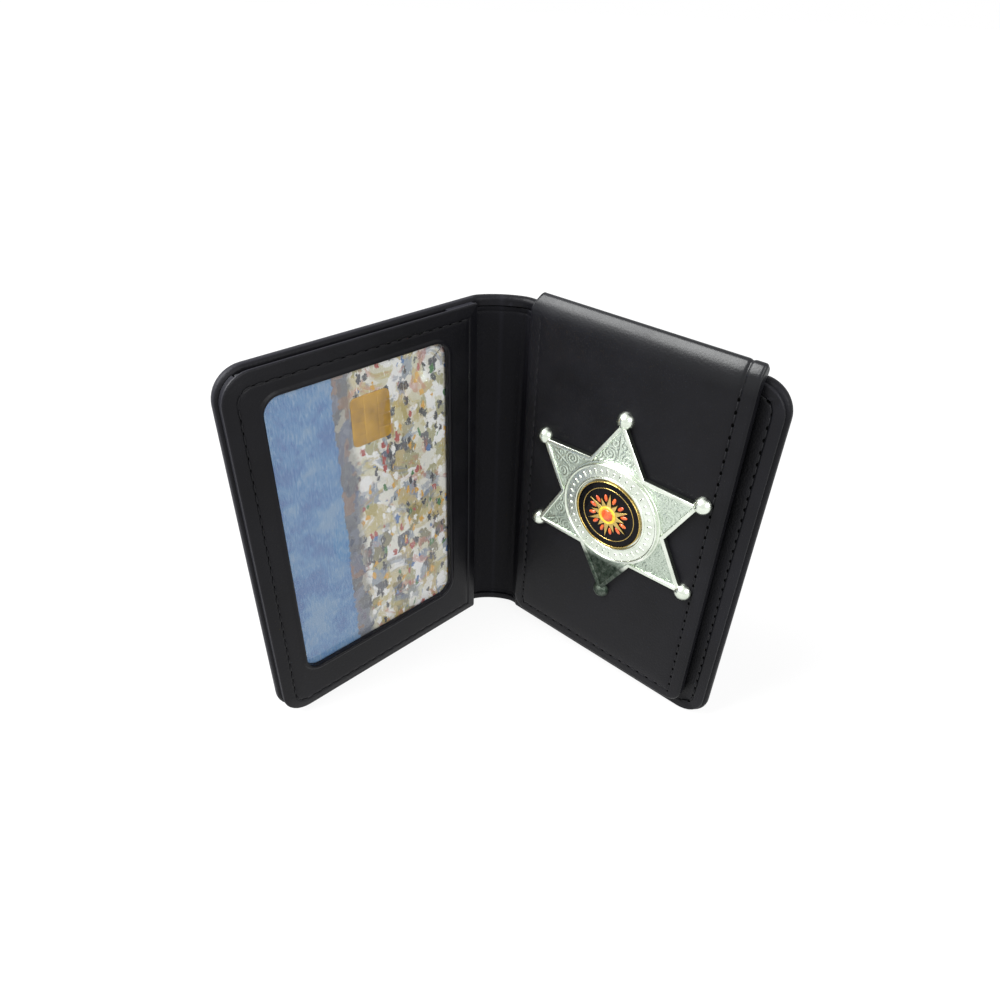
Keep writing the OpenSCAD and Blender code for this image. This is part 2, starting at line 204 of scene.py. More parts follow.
def emboss(tree, shader, height, strength, depth=0.0001):
    """Feeds a height into the shader's normal, as relief too fine for the mesh."""
    bump = add(tree, "Bump", {"Strength": strength, "Distance": depth, "Height": height})
    feed(tree, shader.inputs["Normal"], bump.outputs["Normal"])


# %% [markdown]
# ## Effects that several finishes share
# A node group is built once and placed in many materials, so a better grain or wear improves them all.
# In Blender 4.5 its sockets are made on the group's interface.

# %% Helpers for node groups


def new_group(name, inputs, outputs):
    group = bpy.data.node_groups.new(name, "ShaderNodeTree")
    for socket, value in inputs.items():
        made = group.interface.new_socket(name=socket, in_out="INPUT", socket_type="NodeSocketFloat")
        made.default_value = value
    for socket in outputs:
        group.interface.new_socket(name=socket, in_out="OUTPUT", socket_type="NodeSocketFloat")
    return group, group.nodes.new("NodeGroupInput").outputs, group.nodes.new("NodeGroupOutput")


def use_group(tree, group, values):
    made = tree.nodes.new("ShaderNodeGroup")
    made.node_tree = group
    feed_all(tree, made, values)
    return made.outputs


# %% [markdown]
# ## Leather grain, once for every leather
# Fine calf leather is covered with tiny rounded cells that run into each other, and its finish is a
# little uneven over a few centimetres. A Voronoi texture gives the cells, a noise breaks them up, and
# a slow noise gives the uneven finish. Its one input is the width of a cell in millimetres.

# %% Grain group
grain_group, given, puts_out = new_group("leather_grain", {"Cell": 0.5}, ["Height", "Shade", "Slow"])
spot = spot_on(grain_group)
scaled = add(grain_group, "VectorMath", {0: spot}, operation="SCALE")
feed(grain_group, scaled.inputs["Scale"], maths(grain_group, 1000.0, given["Cell"], "DIVIDE"))
in_cells = scaled.outputs[0]
wander = noise(grain_group, in_cells, 0.45, 2.0)["Color"]
warped = add(grain_group, "VectorMath", {0: wander, 1: (0.9, 0.9, 0.9), 2: in_cells},
             operation="MULTIPLY_ADD")
cells = add(grain_group, "TexVoronoi", {"Vector": warped.outputs[0], "Scale": 1.0, "Smoothness": 0.6},
            feature="SMOOTH_F1")
pebble = between(grain_group, cells.outputs["Distance"], 0.15, 0.75, 1.0, 0.0)
pores = times(grain_group, noise(grain_group, in_cells, 2.6, 3.0)["Fac"], 0.5)
feed_all(grain_group, puts_out, {
    "Height": maths(grain_group, pebble, pores),
    "Shade": pebble,
    "Slow": between(grain_group, noise(grain_group, spot, 55.0, 3.0, 0.6)["Fac"], 0.3, 0.7)})
print("nodes in the grain group:", len(grain_group.nodes))

# %% [markdown]
# ## The leathers
# All are black. What tells them apart is the gloss: the outer leather and the panels are pressed
# smooth and shine softly, and the lining is duller. Worn edges show as slightly greyer leather.
# Geometry's Pointiness finds them, which saves painting them by hand.

# %% Leather materials
BLACK_DYE = (0.0035, 0.0035, 0.0045), (0.007, 0.007, 0.009)
LINING_DYE = (0.003, 0.003, 0.004), (0.006, 0.006, 0.008)
WORN = 2.2          # a worn edge is this many times as light


def leather(name, dye, rough, cell, relief, specular):
    material, tree, shader = new_material(name)
    dark, light = dye
    grain = use_group(tree, grain_group, {"Cell": cell})
    rub = between(tree, add(tree, "NewGeometry").outputs["Pointiness"], 0.52, 0.62)
    dyed = blend_colour(tree, grain["Slow"], dark, light)
    feed_all(tree, shader, {
        "Base Color": blend_colour(tree, rub, dyed, tuple(WORN * c for c in light)),
        "Roughness": maths(tree, between(tree, grain["Slow"], 0, 1, rough - 0.05, rough + 0.07),
                           between(tree, grain["Shade"], 0, 1, 0.06, -0.02)),
        "Specular IOR Level": specular})
    emboss(tree, shader, grain["Height"], relief)
    return material


outer_leather = leather("outer_leather", BLACK_DYE, 0.42, 0.55, 0.30, 0.12)
panel_leather = leather("panel_leather", BLACK_DYE, 0.36, 0.50, 0.22, 0.145)
lining_leather = leather("lining_leather", LINING_DYE, 0.52, 0.45, 0.35, 0.09)
print("leathers:", outer_leather.name, panel_leather.name, lining_leather.name)

# %% [markdown]
# ## Polished crest
# Every time the wallet is opened, a hand slides along the padded roll, and the leather there takes a
# polish that the flat of the flap doesn't have. A second material on the roll would leave a hard line,
# so the flap gets one leather of its own: the same grain, with a coat of polish whose weight grows from
# the shoulder of the roll to its crest.

# %% Flap leather
POLISH_FROM, POLISH_TO = 0.0985, 0.1025         # heights in metres
flap_leather = leather("flap_leather", BLACK_DYE, 0.36, 0.50, 0.22, 0.145)
tree, shader = opened(flap_leather)
spot = spot_on(tree)
up = add(tree, "SeparateXYZ", {"Vector": spot}).outputs["Z"]
rubbed = between(tree, noise(tree, spot, 90.0, 3.0)["Fac"], 0.3, 0.7, 0.17, 0.27)
feed_all(tree, shader, {"Coat Weight": times(tree, between(tree, up, POLISH_FROM, POLISH_TO), rubbed),
                        "Coat Roughness": 0.27, "Coat Tint": (0.90, 1.0, 0.97, 1)})
print("polish starts", round(1000 * (POLISH_TO - POLISH_FROM), 1), "mm below the crest's full shine")

# %% [markdown]
# ## Thread and board
# The thread is black polyester, a little shinier than the leather, and each needle hole is a dimple
# beside it, coloured near black as painted shade in the hole. The boards are out of sight inside the
# wallet, and still get a finish of their own.
# All are fibres, so one function with a fine noise makes the three.

# %% Fibrous materials


def fibrous(name, dark, light, rough, scale, relief, specular=0.3):
    material, tree, shader = new_material(name)
    fibre = noise(tree, spot_on(tree), scale, 4.0, 0.7)["Fac"]
    feed_all(tree, shader, {
        "Base Color": blend_colour(tree, between(tree, fibre, 0.35, 0.65), dark, light),
        "Roughness": between(tree, fibre, 0.3, 0.7, rough - 0.05, rough + 0.05),
        "Specular IOR Level": specular})
    emboss(tree, shader, fibre, relief)
    return material


thread = fibrous("thread", (0.005, 0.005, 0.006), (0.014, 0.014, 0.016), 0.50, 9000, 0.5, 0.15)
# Painted shade: the needle holes are coloured near black for the shade inside them.
painted_hole_shade = fibrous("painted_hole_shade", (0.001, 0.001, 0.001), (0.002, 0.002, 0.002), 0.9, 6000, 0.3, 0.0)
board = fibrous("board", (0.33, 0.28, 0.21), (0.45, 0.39, 0.30), 0.85, 1500, 0.6)
print("fibres:", thread.name, painted_hole_shade.name, board.name)

# %% [markdown]
# ## Metals
# Polished metal that people touch carries fine hairlines and a slight haze. The hairlines are a noise
# squeezed flat in one direction. One group serves every metal here, and its input says how satin the
# clean metal is.

# %% Handled metal
wear_group, given, puts_out = new_group("handled_metal", {"Satin": 0.2}, ["Hairlines", "Haze", "Roughness"])
spot = spot_on(wear_group)
squeezed = mapped(wear_group, spot, (6000, 500, 900), (0.3, 0.5, 0.7))
hairlines = between(wear_group, noise(wear_group, squeezed, 1.0, 2.0)["Fac"], 0.45, 0.75)
haze = between(wear_group, noise(wear_group, spot, 260.0, 3.0)["Fac"], 0.35, 0.7)
worn_by = maths(wear_group, times(wear_group, haze, 0.08), times(wear_group, hairlines, 0.06))
feed_all(wear_group, puts_out, {"Hairlines": hairlines, "Haze": haze,
                                "Roughness": maths(wear_group, given["Satin"], worn_by)})


def metal(name, dark, light, satin):
    material, tree, shader = new_material(name)
    wear = use_group(tree, wear_group, {"Satin": satin})
    feed_all(tree, shader, {"Base Color": blend_colour(tree, wear["Haze"], light, dark),
                            "Roughness": wear["Roughness"], "Metallic": 1.0})
    emboss(tree, shader, wear["Hairlines"], 0.08, 0.00005)
    return material


nickel = metal("polished_nickel", (0.62, 0.68, 0.58), (0.80, 0.85, 0.76), 0.18)
sheared_nickel = metal("sheared_nickel", (0.035, 0.040, 0.035), (0.070, 0.078, 0.068), 0.45)
gold = metal("polished_gold", (0.50, 0.36, 0.11), (0.68, 0.50, 0.17), 0.20)
contact_gold = metal("contact_gold", (0.36, 0.19, 0.0), (0.60, 0.34, 0.01), 0.34)
steel = metal("washer_steel", (0.52, 0.52, 0.52), (0.68, 0.68, 0.68), 0.30)
brass = metal("nut_brass", (0.58, 0.45, 0.20), (0.72, 0.58, 0.30), 0.30)
print("nodes in the metal group:", len(wear_group.nodes))

# %% [markdown]
# ## Painted dark reflection on the badge
# The nickel is coloured darker and greener further down the badge. This is a painted reflection of the
# dark wallet and shaded floor below it: light on the upper arms, heavier further down, and nearly
# black on the lowest arm, which is also made rougher. Two surfaces use it, so it is a group: one mask
# fades in down the badge, the other covers the lowest arm alone, and both are a little blotchy. The
# polished nickel is already made, so its colour and roughness are taken from its own links and sent
# through the painted reflection.

# %% Group for the painted dark reflection
LOWEST_ARM, DARKENING_TOP = 0.0405, 0.079          # heights in metres
dark_reflection_group, given, puts_out = new_group("badge_painted_reflection", {"Roughening": 0.3},
                                          ["Down", "Lowest arm", "Roughness"])
spot = spot_on(dark_reflection_group)
up = add(dark_reflection_group, "SeparateXYZ", {"Vector": spot}).outputs["Z"]
blotches = between(dark_reflection_group, noise(dark_reflection_group, spot, 620.0, 4.0, 0.65)["Fac"], 0.35, 0.65, 0.55, 1.0)
lowest = times(dark_reflection_group, between(dark_reflection_group, up, LOWEST_ARM + 0.0025, LOWEST_ARM),
               between(dark_reflection_group, blotches, 0.55, 1.0, 0.86, 1.0))
feed_all(dark_reflection_group, puts_out, {
    "Down": times(dark_reflection_group, between(dark_reflection_group, up, DARKENING_TOP, LOWEST_ARM + 0.004), blotches),
    "Lowest arm": lowest,
    "Roughness": times(dark_reflection_group, lowest, given["Roughening"])})
print("nodes in the patina group:", len(dark_reflection_group.nodes))

# %% Painted dark reflection on the polished nickel
tree, shader = opened(nickel)
clean_colour, clean_roughness = (shader.inputs[name].links[0].from_socket
                                 for name in ("Base Color", "Roughness"))
# The lowest arm of the polished nickel is coloured near black as a painted reflection of the dark below it,
# and made rougher.
painted_reflection = use_group(tree, dark_reflection_group, {"Roughening": 0.35})
feed_all(tree, shader, {
    "Base Color": blend_colour(tree, painted_reflection["Lowest arm"], clean_colour, (0.012, 0.026, 0.016)),
    "Roughness": maths(tree, clean_roughness, painted_reflection["Roughness"])})
# This height is where the lowest arm's painted dark reflection starts.
print("lowest arm's patina starts at", round(1000 * LOWEST_ARM, 1), "mm")

# %% [markdown]
# ## Stippled nickel
# The sunk ground of the badge was stippled with a small punch before plating, so that the polished
# scrolls stand out from it. Punch marks in the mesh would take millions of faces, so a Voronoi texture
# stands for them, as colour and as relief. The colour darkens towards the middle of each mark, which
# is painted shade, and the painted dark reflection darkens the ground further down.

# %% Stippled ground
stippled_nickel, tree, shader = new_material("stippled_nickel")
wear = use_group(tree, wear_group, {"Satin": 0.24})
painted_reflection = use_group(tree, dark_reflection_group, {"Roughening": 0.25})
punch = add(tree, "TexVoronoi", {"Vector": spot_on(tree), "Scale": 3200.0})
pit = between(tree, punch.outputs["Distance"], 0.1, 0.55)
# Painted shade: each punch mark is coloured darker towards its middle.
pit_shaded = blend_colour(tree, pit, (0.42, 0.50, 0.41), (0.70, 0.78, 0.68))
# Painted dark reflection: the ground is coloured darker and greener further down the badge.
reflection_darkened_ground = blend_colour(tree, times(tree, painted_reflection["Down"], 0.55), pit_shaded, (0.15, 0.21, 0.15))
# The lowest arm's ground is coloured near black, also a painted reflection.
feed_all(tree, shader, {
    "Base Color": blend_colour(tree, painted_reflection["Lowest arm"], reflection_darkened_ground, (0.012, 0.022, 0.014)),
    "Roughness": maths(tree, between(tree, wear["Haze"], 0, 1, 0.24, 0.34), painted_reflection["Roughness"]),
    "Metallic": 1.0})
emboss(tree, shader, pit, 0.35)
print("nodes in the stippled nickel:", len(tree.nodes))

# %% [markdown]
# ## Enamel
# Hard enamel is glass: very smooth, with a deep colour under a clear surface. A coat over a satin
# base gives both, and a faint noise in the base keeps it from looking like plastic. The black enamel
# has a thin coat, so that it mirrors little of the pale floor and stays deep black.

# %% Enamel materials


def enamel(name, dark, light, coat=0.7, specular=0.5):
    material, tree, shader = new_material(name)
    depth = between(tree, noise(tree, spot_on(tree), 900.0, 3.0)["Fac"], 0.35, 0.65)
    feed_all(tree, shader, {
        "Base Color": blend_colour(tree, depth, dark, light),
        "Roughness": between(tree, depth, 0, 1, 0.22, 0.32),
        "Specular IOR Level": specular, "Coat Weight": coat, "Coat Roughness": 0.04})
    return material


black_enamel = enamel("black_enamel", (0.002, 0.002, 0.003), (0.005, 0.005, 0.006), 0.10, 0.06)
orange_enamel = enamel("orange_enamel", (0.62, 0.07, 0.015), (0.85, 0.14, 0.02))
yellow_enamel = enamel("yellow_enamel", (0.80, 0.50, 0.02), (0.92, 0.66, 0.04))
print("enamels:", black_enamel.name, orange_enamel.name, yellow_enamel.name)

# %% [markdown]
# ## Clear window sheet
# The window is thin soft vinyl. It is nearly invisible, so most light passes straight through it, and
# a trace of haze and a faint sheen are all that shows. A low alpha does that with little noise, where
# real glass in front of the card would need many more samples.

# %% Clear sheet
clear_sheet, tree, shader = new_material("clear_sheet")
cloudy = noise(tree, spot_on(tree), 120.0, 2.0)["Fac"]
feed_all(tree, shader, {
    "Base Color": blend_colour(tree, cloudy, (0.80, 0.84, 0.92), (0.90, 0.92, 0.97)),
    "Roughness": between(tree, cloudy, 0.3, 0.7, 0.06, 0.12),
    "Alpha": 0.07, "Specular IOR Level": 1.0, "Coat Weight": 1.0, "Coat Roughness": 0.05})
print("nodes in the clear sheet:", len(tree.nodes))

# %% [markdown]
# ## Printed card
# The card carries an abstract print: a blue field along its outer side, and beside it a loose mosaic
# of cream, ochre and pale blue dabs. A Mapping node turns the frame's axes into millimetres on the
# card, so that the pattern is laid out like a drawing. Voronoi textures make the dabs, and a noise
# that bends their place gives them uneven, painted edges.

# %% Millimetres on the card, and the same bent by a noise
card_print, tree, shader = new_material("card_print")
on_card = add(tree, "Mapping", {"Vector": spot_on(tree), "Location": (-FOLD_X / 1000, FOLD_Y / 1000, 0),
                                "Rotation": (0, 0, pi + LEFT_TURN), "Scale": (0.001, 0.001, 0.001)},
              vector_type="TEXTURE").outputs[0]
drift = noise(tree, on_card, 0.5, 6.0, 0.7)["Color"]
bent = add(tree, "VectorMath", {0: drift, 1: (3.4, 0.0, 4.4), 2: on_card},
           operation="MULTIPLY_ADD").outputs[0]
across = add(tree, "SeparateXYZ", {"Vector": bent}).outputs["X"]


def channels(tree, colour):
    return add(tree, "SeparateColor", {"Color": colour}).outputs


def dabs(tree, where, scale, distance):
    """Brush dabs: three random numbers for each one, and how far a point is from its middle."""
    made = add(tree, "TexVoronoi", {"Vector": mapped(tree, where, scale), "Scale": 1.0}, distance=distance)
    return channels(tree, made.outputs["Color"]), made.outputs["Distance"]


print("the card's pattern starts", FOLD_X, "mm from the middle of the spine")

# %% [markdown]
# ### Ground of the print
# A painter lays a ground first. Broad dabs take creamy whites with a few darker tones, each dab one
# flat colour, and three slow drifts tint whole areas ochre, grey blue or rust, so that the mosaic
# isn't the same all over.

# %% Ground of the print
broad, _ = dabs(tree, bent, (0.34, 0.0, 0.22), "CHEBYCHEV")
ground = steps_of_colour(tree, broad[0], [
    (0.00, (0.78, 0.77, 0.69)), (0.24, (0.40, 0.38, 0.20)), (0.36, (0.86, 0.86, 0.84)),
    (0.54, (0.22, 0.20, 0.10)), (0.60, (0.66, 0.64, 0.48)), (0.76, (0.30, 0.34, 0.38)),
    (0.84, (0.54, 0.44, 0.22)), (0.92, (0.07, 0.07, 0.08))])
drifts = channels(tree, noise(tree, on_card, 0.11, 5.0, 0.65, 0.8)["Color"])
TINTS = (0.53, (0.46, 0.34, 0.02)), (0.56, (0.12, 0.17, 0.28)), (0.57, (0.50, 0.13, 0.07))
for slow, (low, tint) in zip(drifts, TINTS):
    ground = blend_colour(tree, between(tree, slow, low, low + 0.04, 0.0, 0.55), ground, tint)
print("nodes for the ground:", len(tree.nodes))

# %% [markdown]
# ### Marks on the print
# Small dabs come next, dark or in a clear colour. The first random number of a dab is its colour, the
# second says whether it is painted at all, and the distance from its middle keeps it small. Long pale
# strokes go over all.

# %% Marks on the print
small, from_middle = dabs(tree, bent, (0.70, 0.0, 0.36), "EUCLIDEAN")
accent = steps_of_colour(tree, small[0], [
    (0.00, (0.015, 0.015, 0.02)), (0.34, (0.90, 0.90, 0.87)), (0.56, (0.40, 0.05, 0.03)),
    (0.67, (0.05, 0.15, 0.38)), (0.75, (0.04, 0.18, 0.03)), (0.82, (0.68, 0.36, 0.01))])
chosen = maths(tree, small[1], 0.48, "GREATER_THAN")
painted = blend_colour(tree, times(tree, chosen, between(tree, from_middle, 0.50, 0.42)), ground, accent)
strokes = noise(tree, mapped(tree, on_card, (2.2, 0.0, 0.5)), 1.0, 5.0)["Fac"]
painted = blend_colour(tree, between(tree, strokes, 0.60, 0.68), painted, (0.80, 0.79, 0.70))
print("nodes with the marks:", len(tree.nodes))

# %% [markdown]
# ### Blue field
# The outer part of the card is one blue field with brushed streaks. Its edge is read from the bent
# place, which makes it ragged, and a band of muted dabs lies between it and the mosaic.

# %% Blue field with its ragged edge
SHORE_FROM, SHORE_TO, FIELD_FROM = 40.6, 42.4, 46.3     # millimetres from the fold
wash = noise(tree, on_card, 0.12, 4.0, 0.6)["Fac"]
streaks = maths(tree, times(tree, strokes, 0.35), times(tree, wash, 0.65))
blue = steps_of_colour(tree, streaks, [
    (0.42, (0.025, 0.13, 0.36)), (0.50, (0.065, 0.225, 0.455)), (0.58, (0.16, 0.30, 0.48))], "LINEAR")
muted = steps_of_colour(tree, broad[1], [
    (0.00, (0.05, 0.06, 0.09)), (0.35, (0.16, 0.08, 0.05)), (0.50, (0.10, 0.12, 0.18)),
    (0.85, (0.34, 0.33, 0.28))])
shore = times(tree, between(tree, across, SHORE_FROM, SHORE_TO), 0.9)
painted = blend_colour(tree, shore, painted, muted)
field = maths(tree, across, FIELD_FROM, "GREATER_THAN")
feed_all(tree, shader, {"Base Color": blend_colour(tree, field, painted, blue),
                        "Roughness": between(tree, strokes, 0.3, 0.7, 0.20, 0.30),
                        "Coat Weight": 0.6, "Coat Roughness": 0.08})
print("nodes in the card's print:", len(tree.nodes))

# %% [markdown]
# ## From a bmesh to a piece
# Every piece goes through one door: its doubles are merged, it is placed, its normals are made to
# point outwards, and it is told which body it rides on and which finish it takes. The Weighted
# Normal modifier keeps broad flat faces flat beside their small rounded edges, so no edge loops are
# needed to hold them.

# %% Finish a piece
SAME = 0.0005       # points nearer than this are one point, in millimetres


def finish_piece(name, bm, place, body, material, slot, stands_for=(), flat_over=None, weighted=True):
    bmesh.ops.remove_doubles(bm, verts=bm.verts, dist=SAME)
    bmesh.ops.transform(bm, matrix=place, verts=bm.verts)
    bmesh.ops.recalc_face_normals(bm, faces=bm.faces)
    for face in bm.faces:
        face.smooth = True
    for edge in bm.edges:
        if flat_over is not None and len(edge.link_faces) == 2 and edge.calc_face_angle() > flat_over:
            edge.smooth = False
    mesh = bpy.data.meshes.new(name)
    bm.to_mesh(mesh)
    bm.free()
    mesh.materials.append(material)
    piece = bpy.data.objects.new(name, mesh)
    scene.collection.objects.link(piece)
    if weighted:
        modifier = piece.modifiers.new("flat faces", "WEIGHTED_NORMAL")
        modifier.keep_sharp = True
        modifier.weight = 60
    if body:
        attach(piece, body)
    if stands_for:
        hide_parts(*stands_for)
    print(f"{name}: {len(mesh.polygons)} faces")
    return piece


# %% [markdown]
# ## Cutting and pulling
# Leatherwork is mostly cutting sheets and building up edges, and so is its model. Bisect cuts a mesh
# along a plane, either to take a part away or only to give a bend or a groove the points it needs.
# Extrude gives a sheet its thickness.

# %% Helpers that cut and pull


def of_kind(geom, kind):
    return [g for g in geom if isinstance(g, kind)]


def everything(bm):
    return bm.verts[:] + bm.edges[:] + bm.faces[:]


def slice_at(bm, xs=(), ys=()):
    """Cuts a mesh across at each x and then at each y, and takes nothing away."""
    for spot, way in [((x, 0, 0), (1, 0, 0)) for x in xs] + [((0, y, 0), (0, 1, 0)) for y in ys]:
        bmesh.ops.bisect_plane(bm, geom=everything(bm), plane_co=spot, plane_no=way)


def cut_away(bm, geom, spot, way):
    """Takes away what lies beyond a plane, and returns the edges of the cut."""
    cut = bmesh.ops.bisect_plane(bm, geom=geom, plane_co=spot, plane_no=way, clear_outer=True)
    return of_kind(cut["geom_cut"], bmesh.types.BMEdge)


def pull(bm, faces, offset):
    """Extrudes faces by an offset, keeps the old ones, and returns the new ones."""
    made = bmesh.ops.extrude_face_region(bm, geom=faces, use_keep_orig=True)["geom"]
    bmesh.ops.translate(bm, verts=of_kind(made, bmesh.types.BMVert), vec=offset)
    return of_kind(made, bmesh.types.BMFace)


def pull_sideways(section, x_from, x_to):
    """A solid bar whose section is drawn as points of (height, level)."""
    bm = bmesh.new()
    face = bm.faces.new([bm.verts.new((x_from, height, level)) for height, level in section])
    pull(bm, [face], (x_to - x_from, 0, 0))
    return bm


# %% [markdown]
# ## Stacks of rings
# A sewn panel is a rectangle with rounded corners, whose edge is turned or rounded over and whose
# stitches lie in a shallow groove. Bevels and insets get in each other's way at such small sizes. So
# the panel starts as a circle that is moved onto the outline, and each next ring is extruded from it
# and set further in, at its own level.

# %% Stack of rings


def quarter(radius, level, way=1, count=5):
    """Steps of (inset, level) that round an edge over, from its wall inwards; way -1 is for a lower edge."""
    angles = [pi / 2 * i / count for i in range(count + 1)]
    return [(radius * (1 - cos(a)), level - way * radius * (1 - sin(a))) for a in angles]


def outline(low, high, radii, inset, segments):
    """Points round a rectangle with rounded corners; always as many, however far it is inset."""
    corners = [(low[0], low[1], 1, 1, 180), (high[0], low[1], -1, 1, 270),
               (high[0], high[1], -1, -1, 0), (low[0], high[1], 1, -1, 90)]
    points = []
    for (x, y, way_x, way_y, start), radius in zip(corners, radii):
        if not radius:
            points.append((x + way_x * inset, y + way_y * inset))
            continue
        left = max(radius - inset, 0.1 * radius)
        for i in range(segments + 1):
            angle = radians(start + 90 * i / segments)
            points.append((x + way_x * (inset + left) + left * cos(angle),
                           y + way_y * (inset + left) + left * sin(angle)))
    return points


def stack_rings(bm, low, high, radii, steps, segments=8, closed=True):
    """One ring for each step of (inset, level); returns the edges of the first and of the last."""
    count = len(outline(low, high, radii, 0, segments))
    verts = bmesh.ops.create_circle(bm, cap_ends=False, segments=count, radius=1.0)["verts"]
    order = {vert: i for i, vert in enumerate(verts)}
    first = ring = [edge for edge in bm.edges if all(vert in order for vert in edge.verts)]
    for step, (inset, level) in enumerate(steps):
        if step:
            geom = bmesh.ops.extrude_edge_only(bm, edges=ring)["geom"]
            below, order = order, {}
            for vert in of_kind(geom, bmesh.types.BMVert):
                partners = [e.other_vert(vert) for e in vert.link_edges if e.other_vert(vert) in below]
                if vert not in below:
                    order[vert] = below[partners[0]]
            ring = [e for e in of_kind(geom, bmesh.types.BMEdge) if all(vert in order for vert in e.verts)]
        points = outline(low, high, radii, inset, segments)
        for vert, i in order.items():
            vert.co = (*points[i], level)
    if closed:
        for edges in (first, ring):
            bmesh.ops.holes_fill(bm, edges=edges, sides=0)
    return first, ring


def ease(x, low, high):
    """0 below low, 1 above high, and a soft rise between them."""
    t = min(1.0, max(0.0, (x - low) / (high - low)))
    return t * t * (3 - 2 * t)


# %% [markdown]
# ## Outer leather, one half on each side of the spine
# On the real wallet one piece of leather covers both boards and the spine, and its edges are turned
# over to the inside all round. Here the piece is made in two halves that meet in the middle of the
# spine, and each is bent round its fold at the angle its cover stands at now.

# %% Where the leather runs at the spine and the fold
BOW = 1.2                                   # how far the spine bows outwards
BOW_R = (FOLD_X ** 2 + BOW ** 2) / (2 * BOW)
BOW_ANGLE = asin(FOLD_X / BOW_R)
SPINE_HALF = BOW_R * BOW_ANGLE
FOLD_REACH = 1.5                            # the leather turns within this distance of the fold


def along_spine(s):
    angle = BOW_ANGLE * (s + SPINE_HALF) / SPINE_HALF
    return Vector((BOW_R * sin(angle), BOW_R * cos(angle) - BOW_R)), angle


def along_cover(s, turn):
    return Vector((FOLD_X + s * cos(turn), FOLD_Y - s * sin(turn))), turn


def along(s, turn):
    """Middle of the leather at a distance s from the fold, and which way it heads there."""
    if s >= FOLD_REACH:
        return along_cover(s, turn)
    if s <= -FOLD_REACH:
        return along_spine(s)
    (p0, a0), (p3, a3) = along_spine(-FOLD_REACH), along_cover(FOLD_REACH, turn)
    reach = 2 * FOLD_REACH / 3
    p1 = p0 + reach * Vector((cos(a0), -sin(a0)))
    p2 = p3 - reach * Vector((cos(a3), -sin(a3)))
    t = (s + FOLD_REACH) / (2 * FOLD_REACH)
    point = (1 - t) ** 3 * p0 + 3 * t * (1 - t) ** 2 * p1 + 3 * t * t * (1 - t) * p2 + t ** 3 * p3
    way = 3 * (1 - t) ** 2 * (p1 - p0) + 6 * t * (1 - t) * (p2 - p1) + 3 * t * t * (p3 - p2)
    return point, atan2(-way.y, way.x)


print("half of the spine, along its bow:", round(SPINE_HALF, 2), "mm")

# %% Bend a flat half round the fold


def slice_for_bend(bm):
    """Ends the sheet in the middle of the spine, and cuts it across where it bends."""
    end = cut_away(bm, everything(bm), (-SPINE_HALF, 0, 0), (-1, 0, 0))
    bmesh.ops.holes_fill(bm, edges=end, sides=0)
    on_spine = [-SPINE_HALF + 0.8 * i for i in range(1, 7)]
    at_fold = [-1.5 + 0.3 * i for i in range(11)]
    slice_at(bm, on_spine + at_fold + [2.0, 2.5, 3.2])


def bend(bm, side, turn):
    for vert in bm.verts:
        point, heading = along(vert.co.x, turn)
        point = point + vert.co.z * Vector((-sin(heading), -cos(heading)))
        vert.co = (side * point.x, point.y, vert.co.y)


def follow_fold(piece):
    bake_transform(piece)


# %% Make both halves of the outer leather
PAST_MIDDLE = -14       # each half is drawn past the middle of the spine, and cut there
EDGE_ROUND = 1.1


def outer_half(name, side, turn, cover):
    bm = bmesh.new()
    steps = quarter(EDGE_ROUND, -SKIN, -1)[::-1] + quarter(EDGE_ROUND, TURNED) + [
        (2.2, TURNED), (2.32, TURNED - 0.03), (2.42, TURNED - 0.12), (2.5, TURNED - 0.25), (TURNED_W, SKIN)]
    stack_rings(bm, (PAST_MIDDLE, 0), (COVER_W, COVER_H), (0, 7.5, 7.5, 0), steps, segments=12)
    slice_for_bend(bm)
    bend(bm, side, turn)
    piece = finish_piece(name, bm, MM, None, outer_leather, "outer_leather",
                         [cover + "_leather", "spine_leather"], flat_over=1.1)
    follow_fold(piece)


outer_half("left_outer_leather", -1, LEFT_TURN, "left_cover")
outer_half("right_outer_leather", 1, RIGHT_TURN, "right_cover")

# %% [markdown]
# ## Lining
# A thin lining covers the inside of the spine and runs on over the boards, so it climbs by the
# thickness of the board just past each fold. Two soft creases beside the fold show that it has been
# opened and closed many times. It is made as the outer leather is, and its level is a formula of the
# distance from the fold.

# %% Lining halves
BOARD_THICK = BOARD - SKIN


def lining_level(s):
    creases = 0.16 * exp(-((s + 1.1) / 0.6) ** 2) - 0.10 * exp(-((s + 3.0) / 0.8) ** 2)
    return BOARD_THICK * ease(s, -0.2, 2.6) + creases


def lining_half(name, side, turn, nodes, far, far_corner):
    bm = bmesh.new()
    steps = [(0, SKIN)] + quarter(0.25, BOARD, count=3) + [
        (0.7, 1.4), (0.95, 1.37), (1.15, 1.28), (1.3, 1.24), (1.45, 1.28), (1.65, 1.36), (2.05, 1.4)]
    margin = TURNED_W + 0.1
    stack_rings(bm, (PAST_MIDDLE, margin), (far, COVER_H - margin), (0, far_corner, far_corner, 0), steps)
    slice_for_bend(bm)
    for vert in bm.verts:
        vert.co.z += lining_level(vert.co.x)
    bend(bm, side, turn)
    piece = finish_piece(name, bm, MM, None, lining_leather, "lining_leather", nodes, flat_over=1.1)
    follow_fold(piece)


lining_half("left_lining", -1, LEFT_TURN, ["pocket_lining", "spine_lining"], 67.3, 4.8)
lining_half("right_lining", 1, RIGHT_TURN, ["spine_lining"], 9.0, 2.0)

# %% [markdown]
# ## Right panel
# The inside of the right cover is one panel of leather that climbs over the turned edge and is sewn
# round three sides. It is drawn flat, then lifted where the turned edge lies below it, and pressed
# down where the flap's strap is let into it.

# %% Panel on the badge cover
EDGE_SHOW = 0.8                             # how much of the cover shows round the panel
PANEL_FAR, PANEL_TOP = COVER_W - EDGE_SHOW, COVER_H - EDGE_SHOW
PANEL_BACK = BOARD + 0.05
STRAP_NEAR, STRAP_FAR, STRAP_LOW = 5.3, 62.4, 90.3

